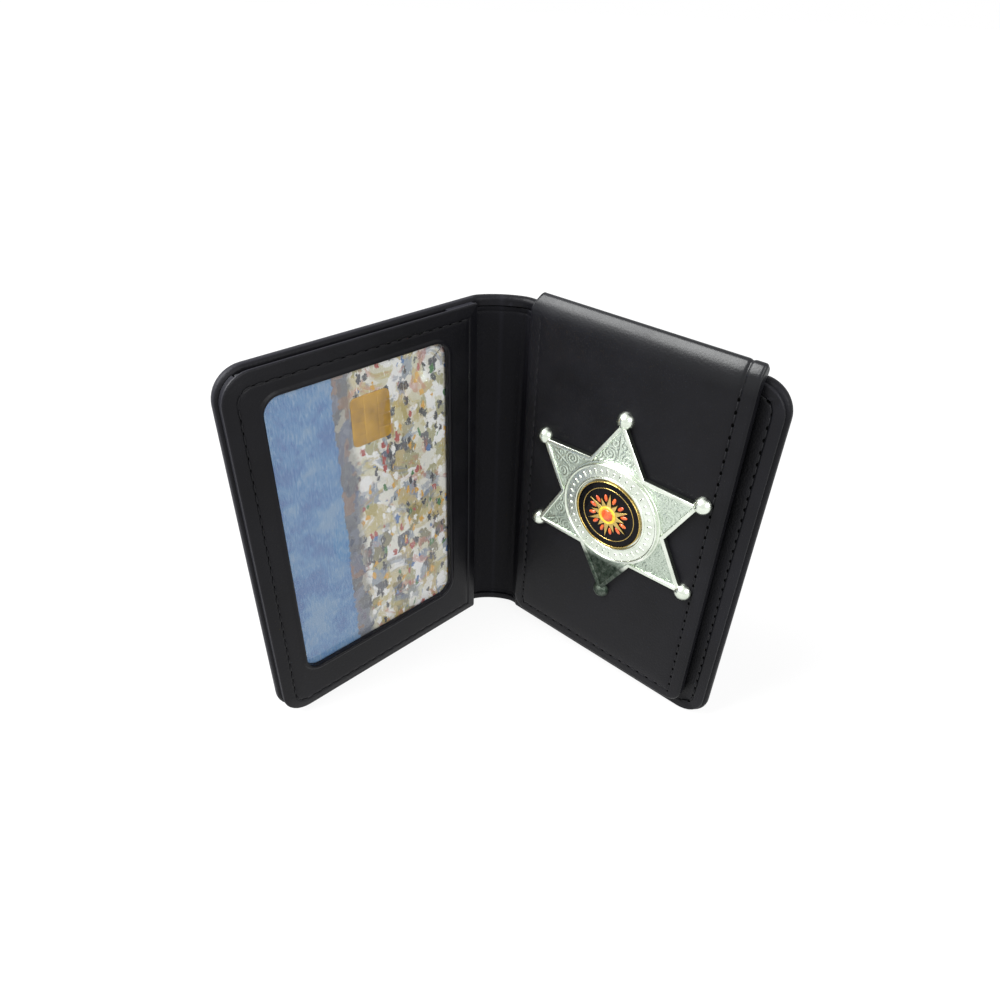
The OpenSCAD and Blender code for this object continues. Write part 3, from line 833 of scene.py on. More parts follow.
bm = bmesh.new()
steps = [(2.6, BOARD + HAIR), (1.9, BOARD + HAIR), (1.8, PANEL_BACK), (0, PANEL_BACK)]
steps += quarter(0.4, LINING, count=3)
steps += [(2.3, 2.19), (2.5, 2.15), (2.7, 2.05), (2.9, 2.0), (3.1, 2.05), (3.3, 2.15), (3.5, 2.19),
          (4.2, LINING), (5.2, LINING)]
stack_rings(bm, (2.6, EDGE_SHOW), (PANEL_FAR, PANEL_TOP), (0.8, 6.7, 6.7, 0.8), steps)
slice_at(bm, (5.0, 7.0, STRAP_NEAR - 0.1, STRAP_NEAR, STRAP_FAR, STRAP_FAR + 0.1),
         (STRAP_LOW - 0.1, STRAP_LOW, 98, 99))
for vert in bm.verts:
    x, y, level = vert.co
    from_edge = min(PANEL_FAR - x, y - EDGE_SHOW, PANEL_TOP - y)
    if level > BOARD + 0.03:
        vert.co.z = level + 0.5 * (1 - ease(from_edge, 1.8, 4.6))
    if STRAP_NEAR - 0.01 < x < STRAP_FAR + 0.01 and y > STRAP_LOW - 0.01:
        vert.co.z = min(vert.co.z, 1.5)
finish_piece("right_panel", bm, right_place, "right_cover", panel_leather, "lining_leather",
             ["right_cover_lining"], flat_over=1.1)

# %% [markdown]
# ## Window frame
# The frame is a panel of thicker leather with a window cut in it, sewn over a strip that leaves room
# for the card. Its outer edge is one stack of rings, with the groove for the stitches in it, and the
# raised lip round the window is another. Bridging the two joins them into one piece, front and back.

# %% Leather window frame
WINDOW_LOW, WINDOW_HIGH = (12.6, 13.9), (61.5, 94.6)
FRAME_LOW, FRAME_HIGH = (2.3, 0.45), (COVER_W - 0.45, COVER_H - 0.45)
FRAME_BACK = SHEET + HAIR
LIP_W = 1.4
edge_steps = [(0, FRAME_BACK)] + quarter(0.5, 4.25) + [
    (1.7, 4.48), (2.6, 4.62), (2.85, 4.61), (3.05, 4.53), (3.25, 4.47), (3.45, 4.53), (3.65, 4.64),
    (3.85, 4.68), (4.8, FRAME_FACE)]
lip_steps = [
    (0, FRAME_FACE), (0.18, FRAME_FACE + 0.05), (0.35, FRAME_FACE + 0.20), (0.55, FRAME_FACE + 0.33),
    (0.8, LIP), (1.05, LIP - 0.02), (1.25, LIP - 0.14), (1.38, LIP - 0.36), (LIP_W, FRAME_BACK)]
bm = bmesh.new()
edge_back, edge_front = stack_rings(bm, FRAME_LOW, FRAME_HIGH, (0.7, 7.0, 7.0, 0.7), edge_steps, closed=False)
lip_front, lip_back = stack_rings(bm, [c - LIP_W for c in WINDOW_LOW], [c + LIP_W for c in WINDOW_HIGH],
                                  (5.4,) * 4, lip_steps, 10, closed=False)
bmesh.ops.bridge_loops(bm, edges=edge_front + lip_front)
bmesh.ops.bridge_loops(bm, edges=edge_back + lip_back)
finish_piece("window_frame_leather", bm, left_place, "left_cover", panel_leather, "panel_leather",
             ["window_frame"], flat_over=1.1)

# %% [markdown]
# ## Strip under the frame
# A strip of leather between the cover and the frame runs along three sides and leaves room for the
# card. It is a flat sheet with the pocket cut out of it, which is quicker to draw than a U: slice it
# along the pocket's sides, delete the faces between them, and give what stays its thickness.

# %% Strip that leaves room for the card


def rounded_sheet(bm, low, high, radii, level, segments=8):
    """One flat face; the radii are for its near low, far low, far high and near high corner."""
    made = bmesh.ops.create_grid(bm, x_segments=1, y_segments=1, size=0.5)["verts"]
    for vert in made:
        vert.co = (low[0] + (vert.co.x + 0.5) * (high[0] - low[0]),
                   low[1] + (vert.co.y + 0.5) * (high[1] - low[1]), level)
    spots = [(low[0], low[1]), (high[0], low[1]), (high[0], high[1]), (low[0], high[1])]
    corners = [min(made, key=lambda v: hypot(v.co.x - x, v.co.y - y)) for x, y in spots]
    for corner, radius in zip(corners, radii):
        if radius:
            bmesh.ops.bevel(bm, geom=[corner], offset=radius, affect="VERTICES", segments=segments,
                            profile=0.5, material=-1)


POCKET_NEAR, POCKET_FAR, POCKET_FLOOR = 10.8, 65.4, 10.2
STRIP_BACK, STRIP_IN = TURNED + HAIR, 0.35      # its edge lies a little inside the frame's
bm = bmesh.new()
rounded_sheet(bm, [c + STRIP_IN for c in FRAME_LOW], [c - STRIP_IN for c in FRAME_HIGH], (0, 6.9, 6.9, 0),
              STRIP_BACK, 12)
slice_at(bm, (POCKET_NEAR, POCKET_FAR), (POCKET_FLOOR,))
middles = {face: face.calc_center_median() for face in bm.faces}
pocket = [face for face, at in middles.items() if POCKET_NEAR < at.x < POCKET_FAR and at.y > POCKET_FLOOR]
bmesh.ops.delete(bm, geom=pocket, context="FACES")
pull(bm, bm.faces[:], (0, 0, FRAME_BACK - STRIP_BACK))
finish_piece("pocket_strip", bm, left_place, "left_cover", lining_leather, "panel_leather", flat_over=0.6)

# %% [markdown]
# ## Clear sheet
# The clear sheet lies just under the frame and is not quite flat, which is what makes soft vinyl
# glint. A grid is swelled by a slow wave that dies out at its edges, where it is sewn down.

# %% Clear sheet
VINYL_LOW, VINYL_W, VINYL_H = (10.9, 10.3), 54.4, 90.7
VINYL_LEVEL, SWELL = 3.45, 0.10
bm = bmesh.new()
for vert in bmesh.ops.create_grid(bm, x_segments=24, y_segments=36, size=0.5)["verts"]:
    in_x, in_y = vert.co.x + 0.5, vert.co.y + 0.5
    x, y = VINYL_LOW[0] + in_x * VINYL_W, VINYL_LOW[1] + in_y * VINYL_H
    wave = sin(x / 7.0 + 1.3) * sin(y / 11.0 + 0.4) * sin(pi * in_x) * sin(pi * in_y)
    vert.co = (x, y, VINYL_LEVEL + SWELL * wave)
bmesh.ops.solidify(bm, geom=bm.faces[:], thickness=0.2)
finish_piece("window_vinyl", bm, left_place, "left_cover", clear_sheet, "clear_sheet", ["clear_window"],
             weighted=False)

# %% [markdown]
# ## Card and contact plate
# The card is the CAD solid with its print. The contact plate of such a card is a gold foil that fine
# grooves part into pads, so it is sliced, its middle is joined again into one pad, and each pad is
# inset and lifted.

# %% Card


def refinish(node, material):
    """Gives a CAD solid its finish; its mesh isn't touched."""
    slots = frame["nodes"][node].data.materials
    slots.clear()
    slots.append(material)


refinish("id_card", card_print)
print("card takes", card_print.name)

# %% Contact plate
CHIP_X, CHIP_Y, CHIP_HALF_W, CHIP_HALF_H = 34.6, 80.5, 5.5, 6.5
CHIP_LEVEL, CHIP_THICK, MIDDLE_HALF = 2.98, 0.15, 1.9
bm = bmesh.new()
rounded_sheet(bm, (CHIP_X - CHIP_HALF_W, CHIP_Y - CHIP_HALF_H), (CHIP_X + CHIP_HALF_W, CHIP_Y + CHIP_HALF_H),
              (1.5,) * 4, CHIP_LEVEL)
slice_at(bm, (CHIP_X - MIDDLE_HALF, CHIP_X + MIDDLE_HALF), [CHIP_Y + y for y in (-3.4, 0.0, 3.4)])
across_middle = [
    e for e in bm.edges
    if not e.is_boundary and abs(e.verts[0].co.y - e.verts[1].co.y) < 0.01
    and all(abs(v.co.x - CHIP_X) < MIDDLE_HALF + 0.1 for v in e.verts)]
bmesh.ops.dissolve_edges(bm, edges=across_middle, use_verts=False)
pads = pull(bm, bm.faces[:], (0, 0, CHIP_THICK))
bmesh.ops.inset_individual(bm, faces=pads, thickness=0.2, depth=0.0, use_even_offset=True)
for face in pads:
    for vert in face.verts:
        vert.co.z += 0.09
finish_piece("contact_pads", bm, left_place, "card", contact_gold, "contact_gold", ["card_contact_plate"],
             flat_over=0.6)

# %% [markdown]
# ## Badge flap
# The flap is the piece that makes this wallet what it is. Its front leather comes up over a padded
# roll and goes down behind it, which makes the soft shining ridge along the top. The section is drawn
# once, from the foot up the front and over the roll, then pulled sideways into a solid. Bevels round
# its corners and edges, and slices give the seam the points it needs.

# %% Section of the flap
FLAP_NEAR, FLAP_FAR, FLAP_FOOT = 4.7, 63.5, 4.4
FOOT_R, FLAP_SEAM = 4.2, 3.4                # radius of the foot corners; distance of the seam from the edge
ROLL_Z = round(1000 * joints["flap_fold"]["pos_m"][2], 4)
ROLL_N, ROLL_R = 3.65, 2.4
LEAN_R, LEAN_TO = 8.0, 40                   # the front leans back on a long curve, up to this angle
CREST_R = 1.2                               # and turns over the crest on a short one


def arc(centre, radius, start, end, count):
    """Points (height, level) on a circle; the angles count from the front upwards."""
    angles = [radians(start + (end - start) * i / count) for i in range(count + 1)]
    return [(centre[0] + radius * sin(a), centre[1] + radius * cos(a)) for a in angles]


def flap_section():
    """Points (height, level) from the foot, up the front, over the roll and down the back."""
    top, turn = ROLL_Z + ROLL_R - 0.5, radians(LEAN_TO)
    lean_from = top - CREST_R * (1 - sin(turn)) - LEAN_R * sin(turn)
    lean = arc((lean_from, FLAP_FACE - LEAN_R), LEAN_R, 0, LEAN_TO, 10)
    crest = arc((top - CREST_R, lean[-1][1] - CREST_R * cos(turn)), CREST_R, LEAN_TO, 150, 8)
    behind = arc((ROLL_Z, ROLL_N), ROLL_R, 160, 225, 5)
    return [(FLAP_FOOT, FLAP_FACE)] + lean + crest[1:] + behind + [
        (101.0, 3.0), (100.0, FLAP_CORE), (FLAP_FOOT, FLAP_CORE)]


bm = pull_sideways(flap_section(), FLAP_NEAR, FLAP_FAR)
bmesh.ops.recalc_face_normals(bm, faces=bm.faces)
print("points in the flap's section:", len(flap_section()))

# %% Round the corners and edges of the flap


def both(edge, test):
    return all(test(v.co) for v in edge.verts)


def on_end(co):
    return min(abs(co.x - FLAP_NEAR), abs(co.x - FLAP_FAR)) < 0.001


def on_foot(co):
    return abs(co.y - FLAP_FOOT) < 0.001


def on_outline(co):
    """True on the flap's outer outline: its two ends, its foot and the rounded corners between them."""
    centres = (FLAP_NEAR + FOOT_R, FLAP_FAR - FOOT_R)
    off_corner = min(abs(hypot(co.x - x, co.y - FLAP_FOOT - FOOT_R) - FOOT_R) for x in centres)
    return on_end(co) or on_foot(co) or (off_corner < 0.01 and co.y < FLAP_FOOT + FOOT_R)


foot_corners = [e for e in bm.edges if both(e, lambda co: on_end(co) and on_foot(co))
                and abs(e.verts[0].co.x - e.verts[1].co.x) < 0.001]
bmesh.ops.bevel(bm, geom=foot_corners, offset=FOOT_R, affect="EDGES", segments=10, profile=0.5, material=-1)
rim = [e for e in bm.edges if both(e, on_outline) and len(e.link_faces) == 2 and e.calc_face_angle() > 1.2
       and (both(e, lambda co: co.z > FLAP_CORE + 0.1) or both(e, lambda co: co.y > 100.5))]
bmesh.ops.bevel(bm, geom=rim, offset=0.8, affect="EDGES", segments=5, profile=0.5, material=-1)
print("edges rounded on the flap:", len(rim))

# %% [markdown]
# ## Padding and seam of the flap
# The padding thins out towards the edges, and the thread pulls a shallow groove along its seam. On
# the far side the seam runs on over the roll as a crease, so there the surface is pushed in along its
# own normal, which works wherever the roll faces. The roll's near end is a little slanted.

# %% Shape the flap's face
SEAM_SLICES = (1.7, 2.3, 2.7, 2.9, 3.1, 3.25, 3.4, 3.55, 3.7, 3.9, 4.2, 5.2, 6.2, 7.5)
CROWN_W = 7.5                       # the padding is full this far from the edge
SLANT = 1.6
slice_at(bm, [FLAP_NEAR + d for d in SEAM_SLICES] + [FLAP_FAR - d for d in SEAM_SLICES],
         [FLAP_FOOT + d for d in SEAM_SLICES])


def flap_relief(x, y):
    """How far the padded face dips: towards its edges, and along the seam."""
    from_edge = min(x - FLAP_NEAR, FLAP_FAR - x, y - FLAP_FOOT)
    near_dip = -0.12 * (1 - ease(x - FLAP_NEAR, 0.0, CROWN_W))
    far_dip = -0.30 * (1 - ease(min(FLAP_FAR - x, y - FLAP_FOOT), 0.0, CROWN_W))
    groove = -0.13 * exp(-((from_edge - FLAP_SEAM) / 0.45) ** 2) * (1 - ease(y, 98.0, 101.5))
    return min(near_dip, far_dip) + groove


for vert in bm.verts:
    if vert.co.z > FLAP_FACE - 0.9 and vert.co.y < 103:
        vert.co.z += flap_relief(vert.co.x, vert.co.y) * ease(vert.co.z, FLAP_FACE - 0.9, FLAP_FACE)
    if vert.co.x < FLAP_NEAR + 2:
        inner = ease(vert.co.x, FLAP_NEAR + 0.8, FLAP_NEAR + 2)
        vert.co.x += SLANT * ease(vert.co.y, 101.5, 106.5) * (1 - inner)
bm.normal_update()
for vert in bm.verts:
    from_seam = FLAP_FAR - vert.co.x - FLAP_SEAM
    vert.co -= vert.normal * 0.24 * exp(-(from_seam / 0.4) ** 2) * ease(vert.co.y, 98.5, 101.0)
flap = finish_piece("badge_flap_leather", bm, right_place, "badge_flap", flap_leather, "panel_leather",
                    ["flap_front_leather", "flap_roll_cord"])

# %% [markdown]
# ## Back of the flap, and its strap
# Out of sight behind the flap lies a lining panel of its own, sewn round the edge. A strap of leather,
# let into the right panel, comes up behind it and carries the roll. Its section is bent like a step,
# so it is drawn once and pulled sideways, as the flap is.

# %% Back of the flap
bm = bmesh.new()
steps = [(0, FLAP_CORE)] + quarter(0.25, FLAP_BACK, -1, 3) + [
    (1.15, FLAP_BACK), (1.35, FLAP_BACK + 0.05), (1.55, FLAP_BACK + 0.15), (1.75, FLAP_BACK + 0.15),
    (1.95, FLAP_BACK + 0.05), (2.25, FLAP_BACK)]
stack_rings(bm, (FLAP_NEAR + 1, FLAP_FOOT + 1), (FLAP_FAR - 1, 97.6), (2.0, 2.0, 1.0, 1.0), steps)
finish_piece("flap_back_panel", bm, right_place, "badge_flap", lining_leather, "lining_leather",
             ["flap_back_leather"])

# %% Strap that carries the flap
STRAP_SECTION = [(90.4, 1.55), (90.4, 2.1), (90.6, 2.3), (96.8, 2.3), (97.6, 2.42), (98.3, 2.68), (98.9, 2.8),
                 (101.0, 2.8), (101.0, 2.0), (99.6, 2.0), (98.9, 1.9), (98.2, 1.6), (97.6, 1.55)]
bm = pull_sideways(STRAP_SECTION, STRAP_NEAR + 0.1, STRAP_FAR - 0.1)
finish_piece("hinge_strap", bm, right_place, "right_cover", panel_leather, "panel_leather",
             ["flap_hinge_strap"], flat_over=0.9)

# %% [markdown]
# ## Rows of stitches
# Thread comes up through the leather, runs a couple of millimetres and goes down again. Each stitch
# is a small stretched sphere of a few dozen faces, laid along a path with its ends sunk in the
# leather, and beside it lies the needle's hole, a shallow dimple coloured near black as painted shade.
# There are hundreds, so one stitch is made and then copied along the path, which is far quicker than
# making each from a new sphere.

# %% Path of a seam


def seam_path(low, high, radius, back_along_top=True):
    """Points of an open path: along the foot, up the far side and, where wanted, back along the top."""
    points = [(low[0], low[1])]
    for cx, cy, start in ((high[0] - radius, low[1] + radius, -90), (high[0] - radius, high[1] - radius, 0)):
        for i in range(13):
            angle = radians(start + 7.5 * i)
            points.append((cx + radius * cos(angle), cy + radius * sin(angle)))
    if back_along_top:
        points.append((low[0], high[1]))
    return points


def walk(points, pitch):
    """Even steps along a path, as places and directions."""
    left, found = pitch / 2, []
    for (x0, y0), (x1, y1) in zip(points, points[1:]):
        length = hypot(x1 - x0, y1 - y0)
        while left < length:
            share = left / length
            found.append((x0 + (x1 - x0) * share, y0 + (y1 - y0) * share, atan2(y1 - y0, x1 - x0)))
            left += pitch
        left -= length
    return found


print("a seam of 60 mm takes", len(walk([(0, 0), (60, 0)], 3.0)), "stitches")

# %% One stitch, and rows of them
PITCH, STITCH_LENGTH, THREAD_R = 3.0, 2.1, 0.24


def one_stitch(drop):
    """One stitch at the origin, and before it a needle hole, which lies lower by drop and is coloured near
    black as painted shade.
    """
    bm = bmesh.new()
    lying = Matrix.Diagonal((STITCH_LENGTH / 2, THREAD_R, THREAD_R, 1)) @ Matrix.Rotation(pi / 2, 4, "Y")
    bmesh.ops.create_uvsphere(bm, u_segments=8, v_segments=5, radius=1.0, matrix=lying)
    dimple = Matrix.Translation((-PITCH / 2, 0, -drop)) @ Matrix.Diagonal((0.45, 0.36, 0.05, 1))
    hole = bmesh.ops.create_uvsphere(bm, u_segments=10, v_segments=4, radius=1.0, matrix=dimple)["verts"]
    for vert in hole:
        for face in vert.link_faces:
            face.material_index = 1
    mesh = bpy.data.meshes.new("one_stitch")
    bm.to_mesh(mesh)
    bm.free()
    return mesh


def sewn(name, rows, place, body):
    """Rows of stitches; each row has its path, the level of its thread and the level of the leather."""
    bm = bmesh.new()
    for points, level, surface in rows:
        pattern = one_stitch(level - surface)
        for x, y, angle in walk(points, PITCH):
            copy = pattern.copy()
            copy.transform(Matrix.Translation((x, y, level)) @ Matrix.Rotation(angle, 4, "Z"))
            bm.from_mesh(copy)
            bpy.data.meshes.remove(copy)
        bpy.data.meshes.remove(pattern)
    piece = finish_piece(name, bm, place, body, thread, "outer_leather", weighted=False)
    # The second material colours the needle holes near black, as painted shade.
    piece.data.materials.append(painted_hole_shade)


# %% [markdown]
# ## Seams of the wallet
# The window frame and the right panel are each sewn through to the outer leather, where the same seam
# shows again. The strap has two short rows. The flap's seam stops below the roll, since the roll is
# wrapped and not sewn.

# %% Sew the seams
SEAM = 2.9                                  # distance of the covers' seams from the panels' edges
SEAM_HIGH = (PANEL_FAR - SEAM, PANEL_TOP - SEAM)
FLAP_SEAM_TOP = 99.8
left_row = seam_path((5.5, EDGE_SHOW + SEAM), SEAM_HIGH, 3.8)
right_row = seam_path((5.8, EDGE_SHOW + SEAM), SEAM_HIGH, 3.8, back_along_top=False)
back_row = (seam_path((4.0, EDGE_SHOW + SEAM), SEAM_HIGH, 3.8), -SKIN - 0.02, -SKIN)
strap_rows = [([(7, y), (61, y)], 2.32, 2.30) for y in (92.2, 96.2)]
flap_far = seam_path((FLAP_NEAR + FLAP_SEAM + 0.2, FLAP_FOOT + FLAP_SEAM),
                     (FLAP_FAR - FLAP_SEAM, FLAP_SEAM_TOP), 0.8, back_along_top=False)[:-12]
flap_near = [(FLAP_NEAR + FLAP_SEAM, FLAP_SEAM_TOP), (FLAP_NEAR + FLAP_SEAM, FLAP_FOOT + FLAP_SEAM + 0.2)]
sewn("left_cover_stitches", [(left_row, 4.56, 4.47), back_row], left_place, "left_cover")
sewn("right_cover_stitches", [(right_row, 2.45, 2.37), back_row] + strap_rows, right_place, "right_cover")
sewn("flap_stitches", [(flap_far, FLAP_FACE - 0.34, FLAP_FACE - 0.29),
                       (flap_near, FLAP_FACE - 0.24, FLAP_FACE - 0.19)], right_place, "badge_flap")

# %% [markdown]
# ## Badge
# A die-struck badge has a raised polished rim, a sunk ground with scrolls standing up from it, a ball
# on each point and a round boss in the middle. The star is a circle of twelve points with every other
# one pulled in, and insets make its rim. The balls are spheres cut flat at the back, and two posts
# behind the plate hold it to the flap.

# %% Helpers for the badge
BADGE = right_place @ Matrix.Translation((35.2, 56.6, FLAP_FACE))


def badge_piece(name, bm, material, slot, stands_for=(), **options):
    return finish_piece(name, bm, BADGE, "badge_flap", material, slot, stands_for, **options)


def star_face(bm, count, tips, notch, level):
    """A flat star with one tip straight up; the radii of its tips are used in turn."""
    ring = bmesh.ops.create_circle(bm, cap_ends=True, segments=2 * count, radius=1.0)["verts"]
    for vert in ring:
        step = round(atan2(vert.co.y, vert.co.x) / (pi / count))
        radius = notch if step % 2 else tips[step // 2 % len(tips)]
        angle = pi / 2 + step * pi / count
        vert.co = (radius * cos(angle), radius * sin(angle), level)
    return ring[0].link_faces[0]


def terrace(bm, face, steps):
    """Insets a flat face again and again; each step has the whole inset and the level inside it."""
    reached = 0.0
    for inset, level in steps:
        bmesh.ops.inset_region(bm, faces=[face], thickness=inset - reached, use_even_offset=True)
        reached = inset
        for vert in face.verts:
            vert.co.z = level


print("middle of the badge:", BADGE.translation)

# %% Star plate with its rim, ball tips and posts
STAR_R, RIM_W, RIM_ROUND = 26.3, 1.2, 0.35
NOTCH_R = STAR_R * 0.593
PLATE_TOP, GROUND = 1.5, 1.0                # top of the rim, and the sunk ground inside it
BALL_R, POST_R, POST_Y = 2.3, 1.2, 9
bm = bmesh.new()
back = star_face(bm, 6, (STAR_R,), NOTCH_R, 0)
front = pull(bm, [back], (0, 0, 1.1))[0]
terrace(bm, front, quarter(RIM_ROUND, PLATE_TOP, count=4)[1:] + [
    (0.85, PLATE_TOP), (1.0, PLATE_TOP - 0.04), (1.1, PLATE_TOP - 0.14), (RIM_W, GROUND)])
for i in range(6):
    angle = pi / 2 + i * pi / 3
    at = Matrix.Translation((STAR_R * cos(angle), STAR_R * sin(angle), -0.1))
    ball = bmesh.ops.create_uvsphere(bm, u_segments=28, v_segments=18, radius=BALL_R, matrix=at)["verts"]
    own = set(ball)
    geom = ball + [g for g in bm.edges[:] + bm.faces[:] if g.verts[0] in own]
    bmesh.ops.holes_fill(bm, edges=cut_away(bm, geom, (0, 0, 0), (0, 0, -1)), sides=0)
for y in (-POST_Y, POST_Y):
    bmesh.ops.create_cone(bm, cap_ends=True, segments=24, radius1=POST_R, radius2=POST_R, depth=2.4,
                          matrix=Matrix.Translation((0, y, -1.15)))
plate = badge_piece("badge_plate", bm, nickel, "badge_nickel", ["badge_star"], flat_over=0.7)

# %% [markdown]
# ## Sheared edge
# The plate is sheared from a sheet, and its narrow edge is left as the shears leave it, dark and
# dull. The faces that stand upright on the badge's plane get that finish.

# %% Leave the sheared edge of the plate unpolished
plate.data.materials.append(sheared_nickel)
facing = (BADGE.to_3x3() @ Vector((0, 0, 1))).normalized()
LARGE = 4e-6            # square metres; the faces of the rounding, the balls and the posts are smaller
sheared = [p for p in plate.data.polygons if abs(p.normal.dot(facing)) < 0.2 and p.area > LARGE]
for polygon in sheared:
    polygon.material_index = 1
print("sheared edge faces:", len(sheared))

# %% [markdown]
# ## Scrolls on the six arms
# Leafy curls stand up from the sunk ground of each arm. Engraving them one by one would take long, so
# one arm's scrolls are a fine grid that is lifted by a drawing of curls, a stem and slanting veins,
# cut to the arm and spun round six times.

# %% Drawing of the curls
CURL_PITCH = 0.9        # from one turn of a curl to the next
CURLS = [(0.0, 14.9, 0.9, 1), (2.7, 16.7, 1.9, 1), (5.6, 15.2, 1.2, -1), (1.25, 20.0, 1.1, -1),
         (4.3, 18.6, 0.8, 1)]


def curl_height(x, y):
    """0 to 1 on one arm; each curl has its place, its reach and the way it turns."""
    x = abs(x)
    best = 0.0
    for cx, cy, reach, turn in CURLS:
        far = hypot(x - cx, y - cy)
        if far < reach * 1.6:
            wave = 0.5 + 0.5 * cos(2 * pi * far / CURL_PITCH - turn * atan2(y - cy, x - cx))
            best = max(best, wave * (1 - ease(far, reach * 0.9, reach * 1.5)))
    stem = exp(-(x / 0.28) ** 2) * ease(y, 15, 16.5) * (1 - ease(y, 21.5, 23))
    vein = (0.5 + 0.5 * cos(2 * pi * (x * 0.9 + y) / 1.1)) * 0.35
    return max(best, stem, vein)


print("curls on each half arm:", len(CURLS))

# %% Grid, cut to one arm and spun
SCROLL_RISE = 0.16
SCROLL_W, SCROLL_FROM, SCROLL_H = 16, 13.6, 10.8
bm = bmesh.new()
for vert in bmesh.ops.create_grid(bm, x_segments=100, y_segments=72, size=0.5)["verts"]:
    x, y = vert.co.x * SCROLL_W, SCROLL_FROM + (vert.co.y + 0.5) * SCROLL_H
    vert.co = (x, y, GROUND + SCROLL_RISE * curl_height(x, y))
tip = Vector((0, STAR_R, 0))
for side in (-1, 1):
    notch = Vector((side * NOTCH_R * sin(pi / 6), NOTCH_R * cos(pi / 6), 0))
    run = (notch - tip).normalized()
    outward = Vector((-run.y, run.x, 0)) * side
    cut_away(bm, everything(bm), tip - outward * (RIM_W - HAIR), outward)
bmesh.ops.spin(bm, geom=everything(bm), cent=(0, 0, 0), axis=(0, 0, 1), angle=2 * pi * 5 / 6, steps=5,
               use_duplicate=True)
bm.normal_update()
badge_piece("badge_scrolls", bm, stippled_nickel, "badge_nickel", weighted=False)

# %% [markdown]
# ## Boss and centre ring
# The boss and the ring are round, so each is a profile spun about the middle, as on a lathe. On the
# ring, small beads in two lengths stand between its two lips. Each bead is a flattened sphere.

# %% Helpers for round pieces


def turned(profile, steps=96):
    """Turns a profile of (radius, height) points into a closed ring or dome."""
    bm = bmesh.new()
    verts = [bm.verts.new((radius, 0, height)) for radius, height in profile]
    edges = [bm.edges.new(pair) for pair in zip(verts, verts[1:])]
    bmesh.ops.spin(bm, geom=verts + edges, cent=(0, 0, 0), axis=(0, 0, 1), angle=2 * pi, steps=steps,
                   use_merge=True)
    return bm


def beads(bm, count, radius, level, lengths, width, height, segments, shift=0.0):
    """A ring of flattened beads; their lengths are used in turn."""
    for i in range(count):
        centre = Matrix.Rotation(2 * pi * (i + shift) / count, 4, "Z")
        centre = centre @ Matrix.Translation((radius, 0, level))
        shape = Matrix.Diagonal((lengths[i % len(lengths)], width, height, 1))
        bmesh.ops.create_uvsphere(bm, u_segments=segments[0], v_segments=segments[1], radius=1.0,
                                  matrix=centre @ shape)


# %% Boss and centre ring
bm = turned([(0, 0.95), (14.5, 0.95), (14.5, 1.35), (14.42, 1.46), (14.3, 1.5), (0, 1.5)])
badge_piece("badge_boss", bm, nickel, "badge_nickel", flat_over=0.6)

bm = turned([(9.8, 1.5), (14.0, 1.5), (14.0, 1.9), (13.93, 2.18), (13.72, 2.34), (13.5, 2.3), (13.34, 2.12),
             (13.28, 1.95), (10.5, 1.95), (10.44, 2.12), (10.28, 2.3), (10.06, 2.34), (9.86, 2.2),
             (9.8, 1.95), (9.8, 1.5)])
beads(bm, 40, 11.9, 1.95, (0.5, 0.85), 0.42, 0.20, (10, 6))
badge_piece("badge_ring", bm, nickel, "badge_nickel", ["badge_centre_ring"], flat_over=0.9)

# %% [markdown]
# ## Bezel and enamel disc
# A thin gold wall with a milled edge holds the black enamel. The milling is a wave that lowers the
# top of the wall sixty times round, which needs more steps in the spin than a plain ring. The enamel
# is a very low dome, because the glass shrinks from its rim as it cools.

# %% Gold bezel and enamel disc
MILLING, MILLING_DEPTH = 60, 0.09
bm = turned([(9.1, 1.5), (9.42, 1.5), (9.42, 2.3), (9.38, 2.44), (9.31, 2.5), (9.23, 2.5), (9.15, 2.44),
             (9.1, 2.3), (9.1, 1.5)], 180)
for vert in bm.verts:
    if vert.co.z > 2.3:
        vert.co.z -= MILLING_DEPTH * (0.5 + 0.5 * cos(MILLING * atan2(vert.co.y, vert.co.x)))
badge_piece("gold_bezel", bm, gold, "badge_gold", ["badge_bezel"])

bm = turned([(0, 1.5), (9.08, 1.5), (9.08, 2.0), (9.0, 2.12), (8.7, 2.17), (5.0, 2.19), (0, 2.2)])
badge_piece("enamel_ground", bm, black_enamel, "black_enamel", ["enamel_disc"], flat_over=0.8)

# %% [markdown]
# ## Sunburst
# The ornament on the enamel is a plain sunburst: twelve gold rays, long and short in turn, orange
# drops between them, a fine gold circle round them and a yellow collar with an orange stud in the
# middle. The rays are a star like the plate's, and the rest is turned or beaded.

# %% Rays and drops
RAYS, RAY_TIPS, RAY_NOTCH = 12, (6.5, 4.9), 2.75
RAY_LOW, RAY_HIGH = 2.18, 2.62
bm = bmesh.new()
back = star_face(bm, RAYS, RAY_TIPS, RAY_NOTCH, RAY_LOW)
front = pull(bm, [back], (0, 0, RAY_HIGH - RAY_LOW - 0.12))[0]
terrace(bm, front, [(0.06, RAY_HIGH - 0.05), (0.16, RAY_HIGH)])
badge_piece("sunburst_rays", bm, gold, "badge_gold", ["emblem_rays"], flat_over=0.5)

bm = bmesh.new()
beads(bm, RAYS, 4.75, 2.2, (1.05,), 0.50, 0.30, (16, 8), shift=0.5)
badge_piece("sunburst_drops", bm, orange_enamel, "orange_enamel", weighted=False)

# %% Circle, collar and stud
bm = turned([(7.40, 2.15), (7.40, 2.24), (7.45, 2.28), (7.55, 2.28), (7.60, 2.24), (7.60, 2.15)])
badge_piece("sunburst_circle", bm, gold, "badge_gold")

bm = turned([(0, 2.2), (2.55, 2.2), (2.55, 2.66), (2.45, 2.78), (2.2, 2.82), (1.9, 2.78), (1.8, 2.7),
             (0, 2.7)], 48)
badge_piece("sunburst_collar", bm, yellow_enamel, "badge_gold", flat_over=0.8)

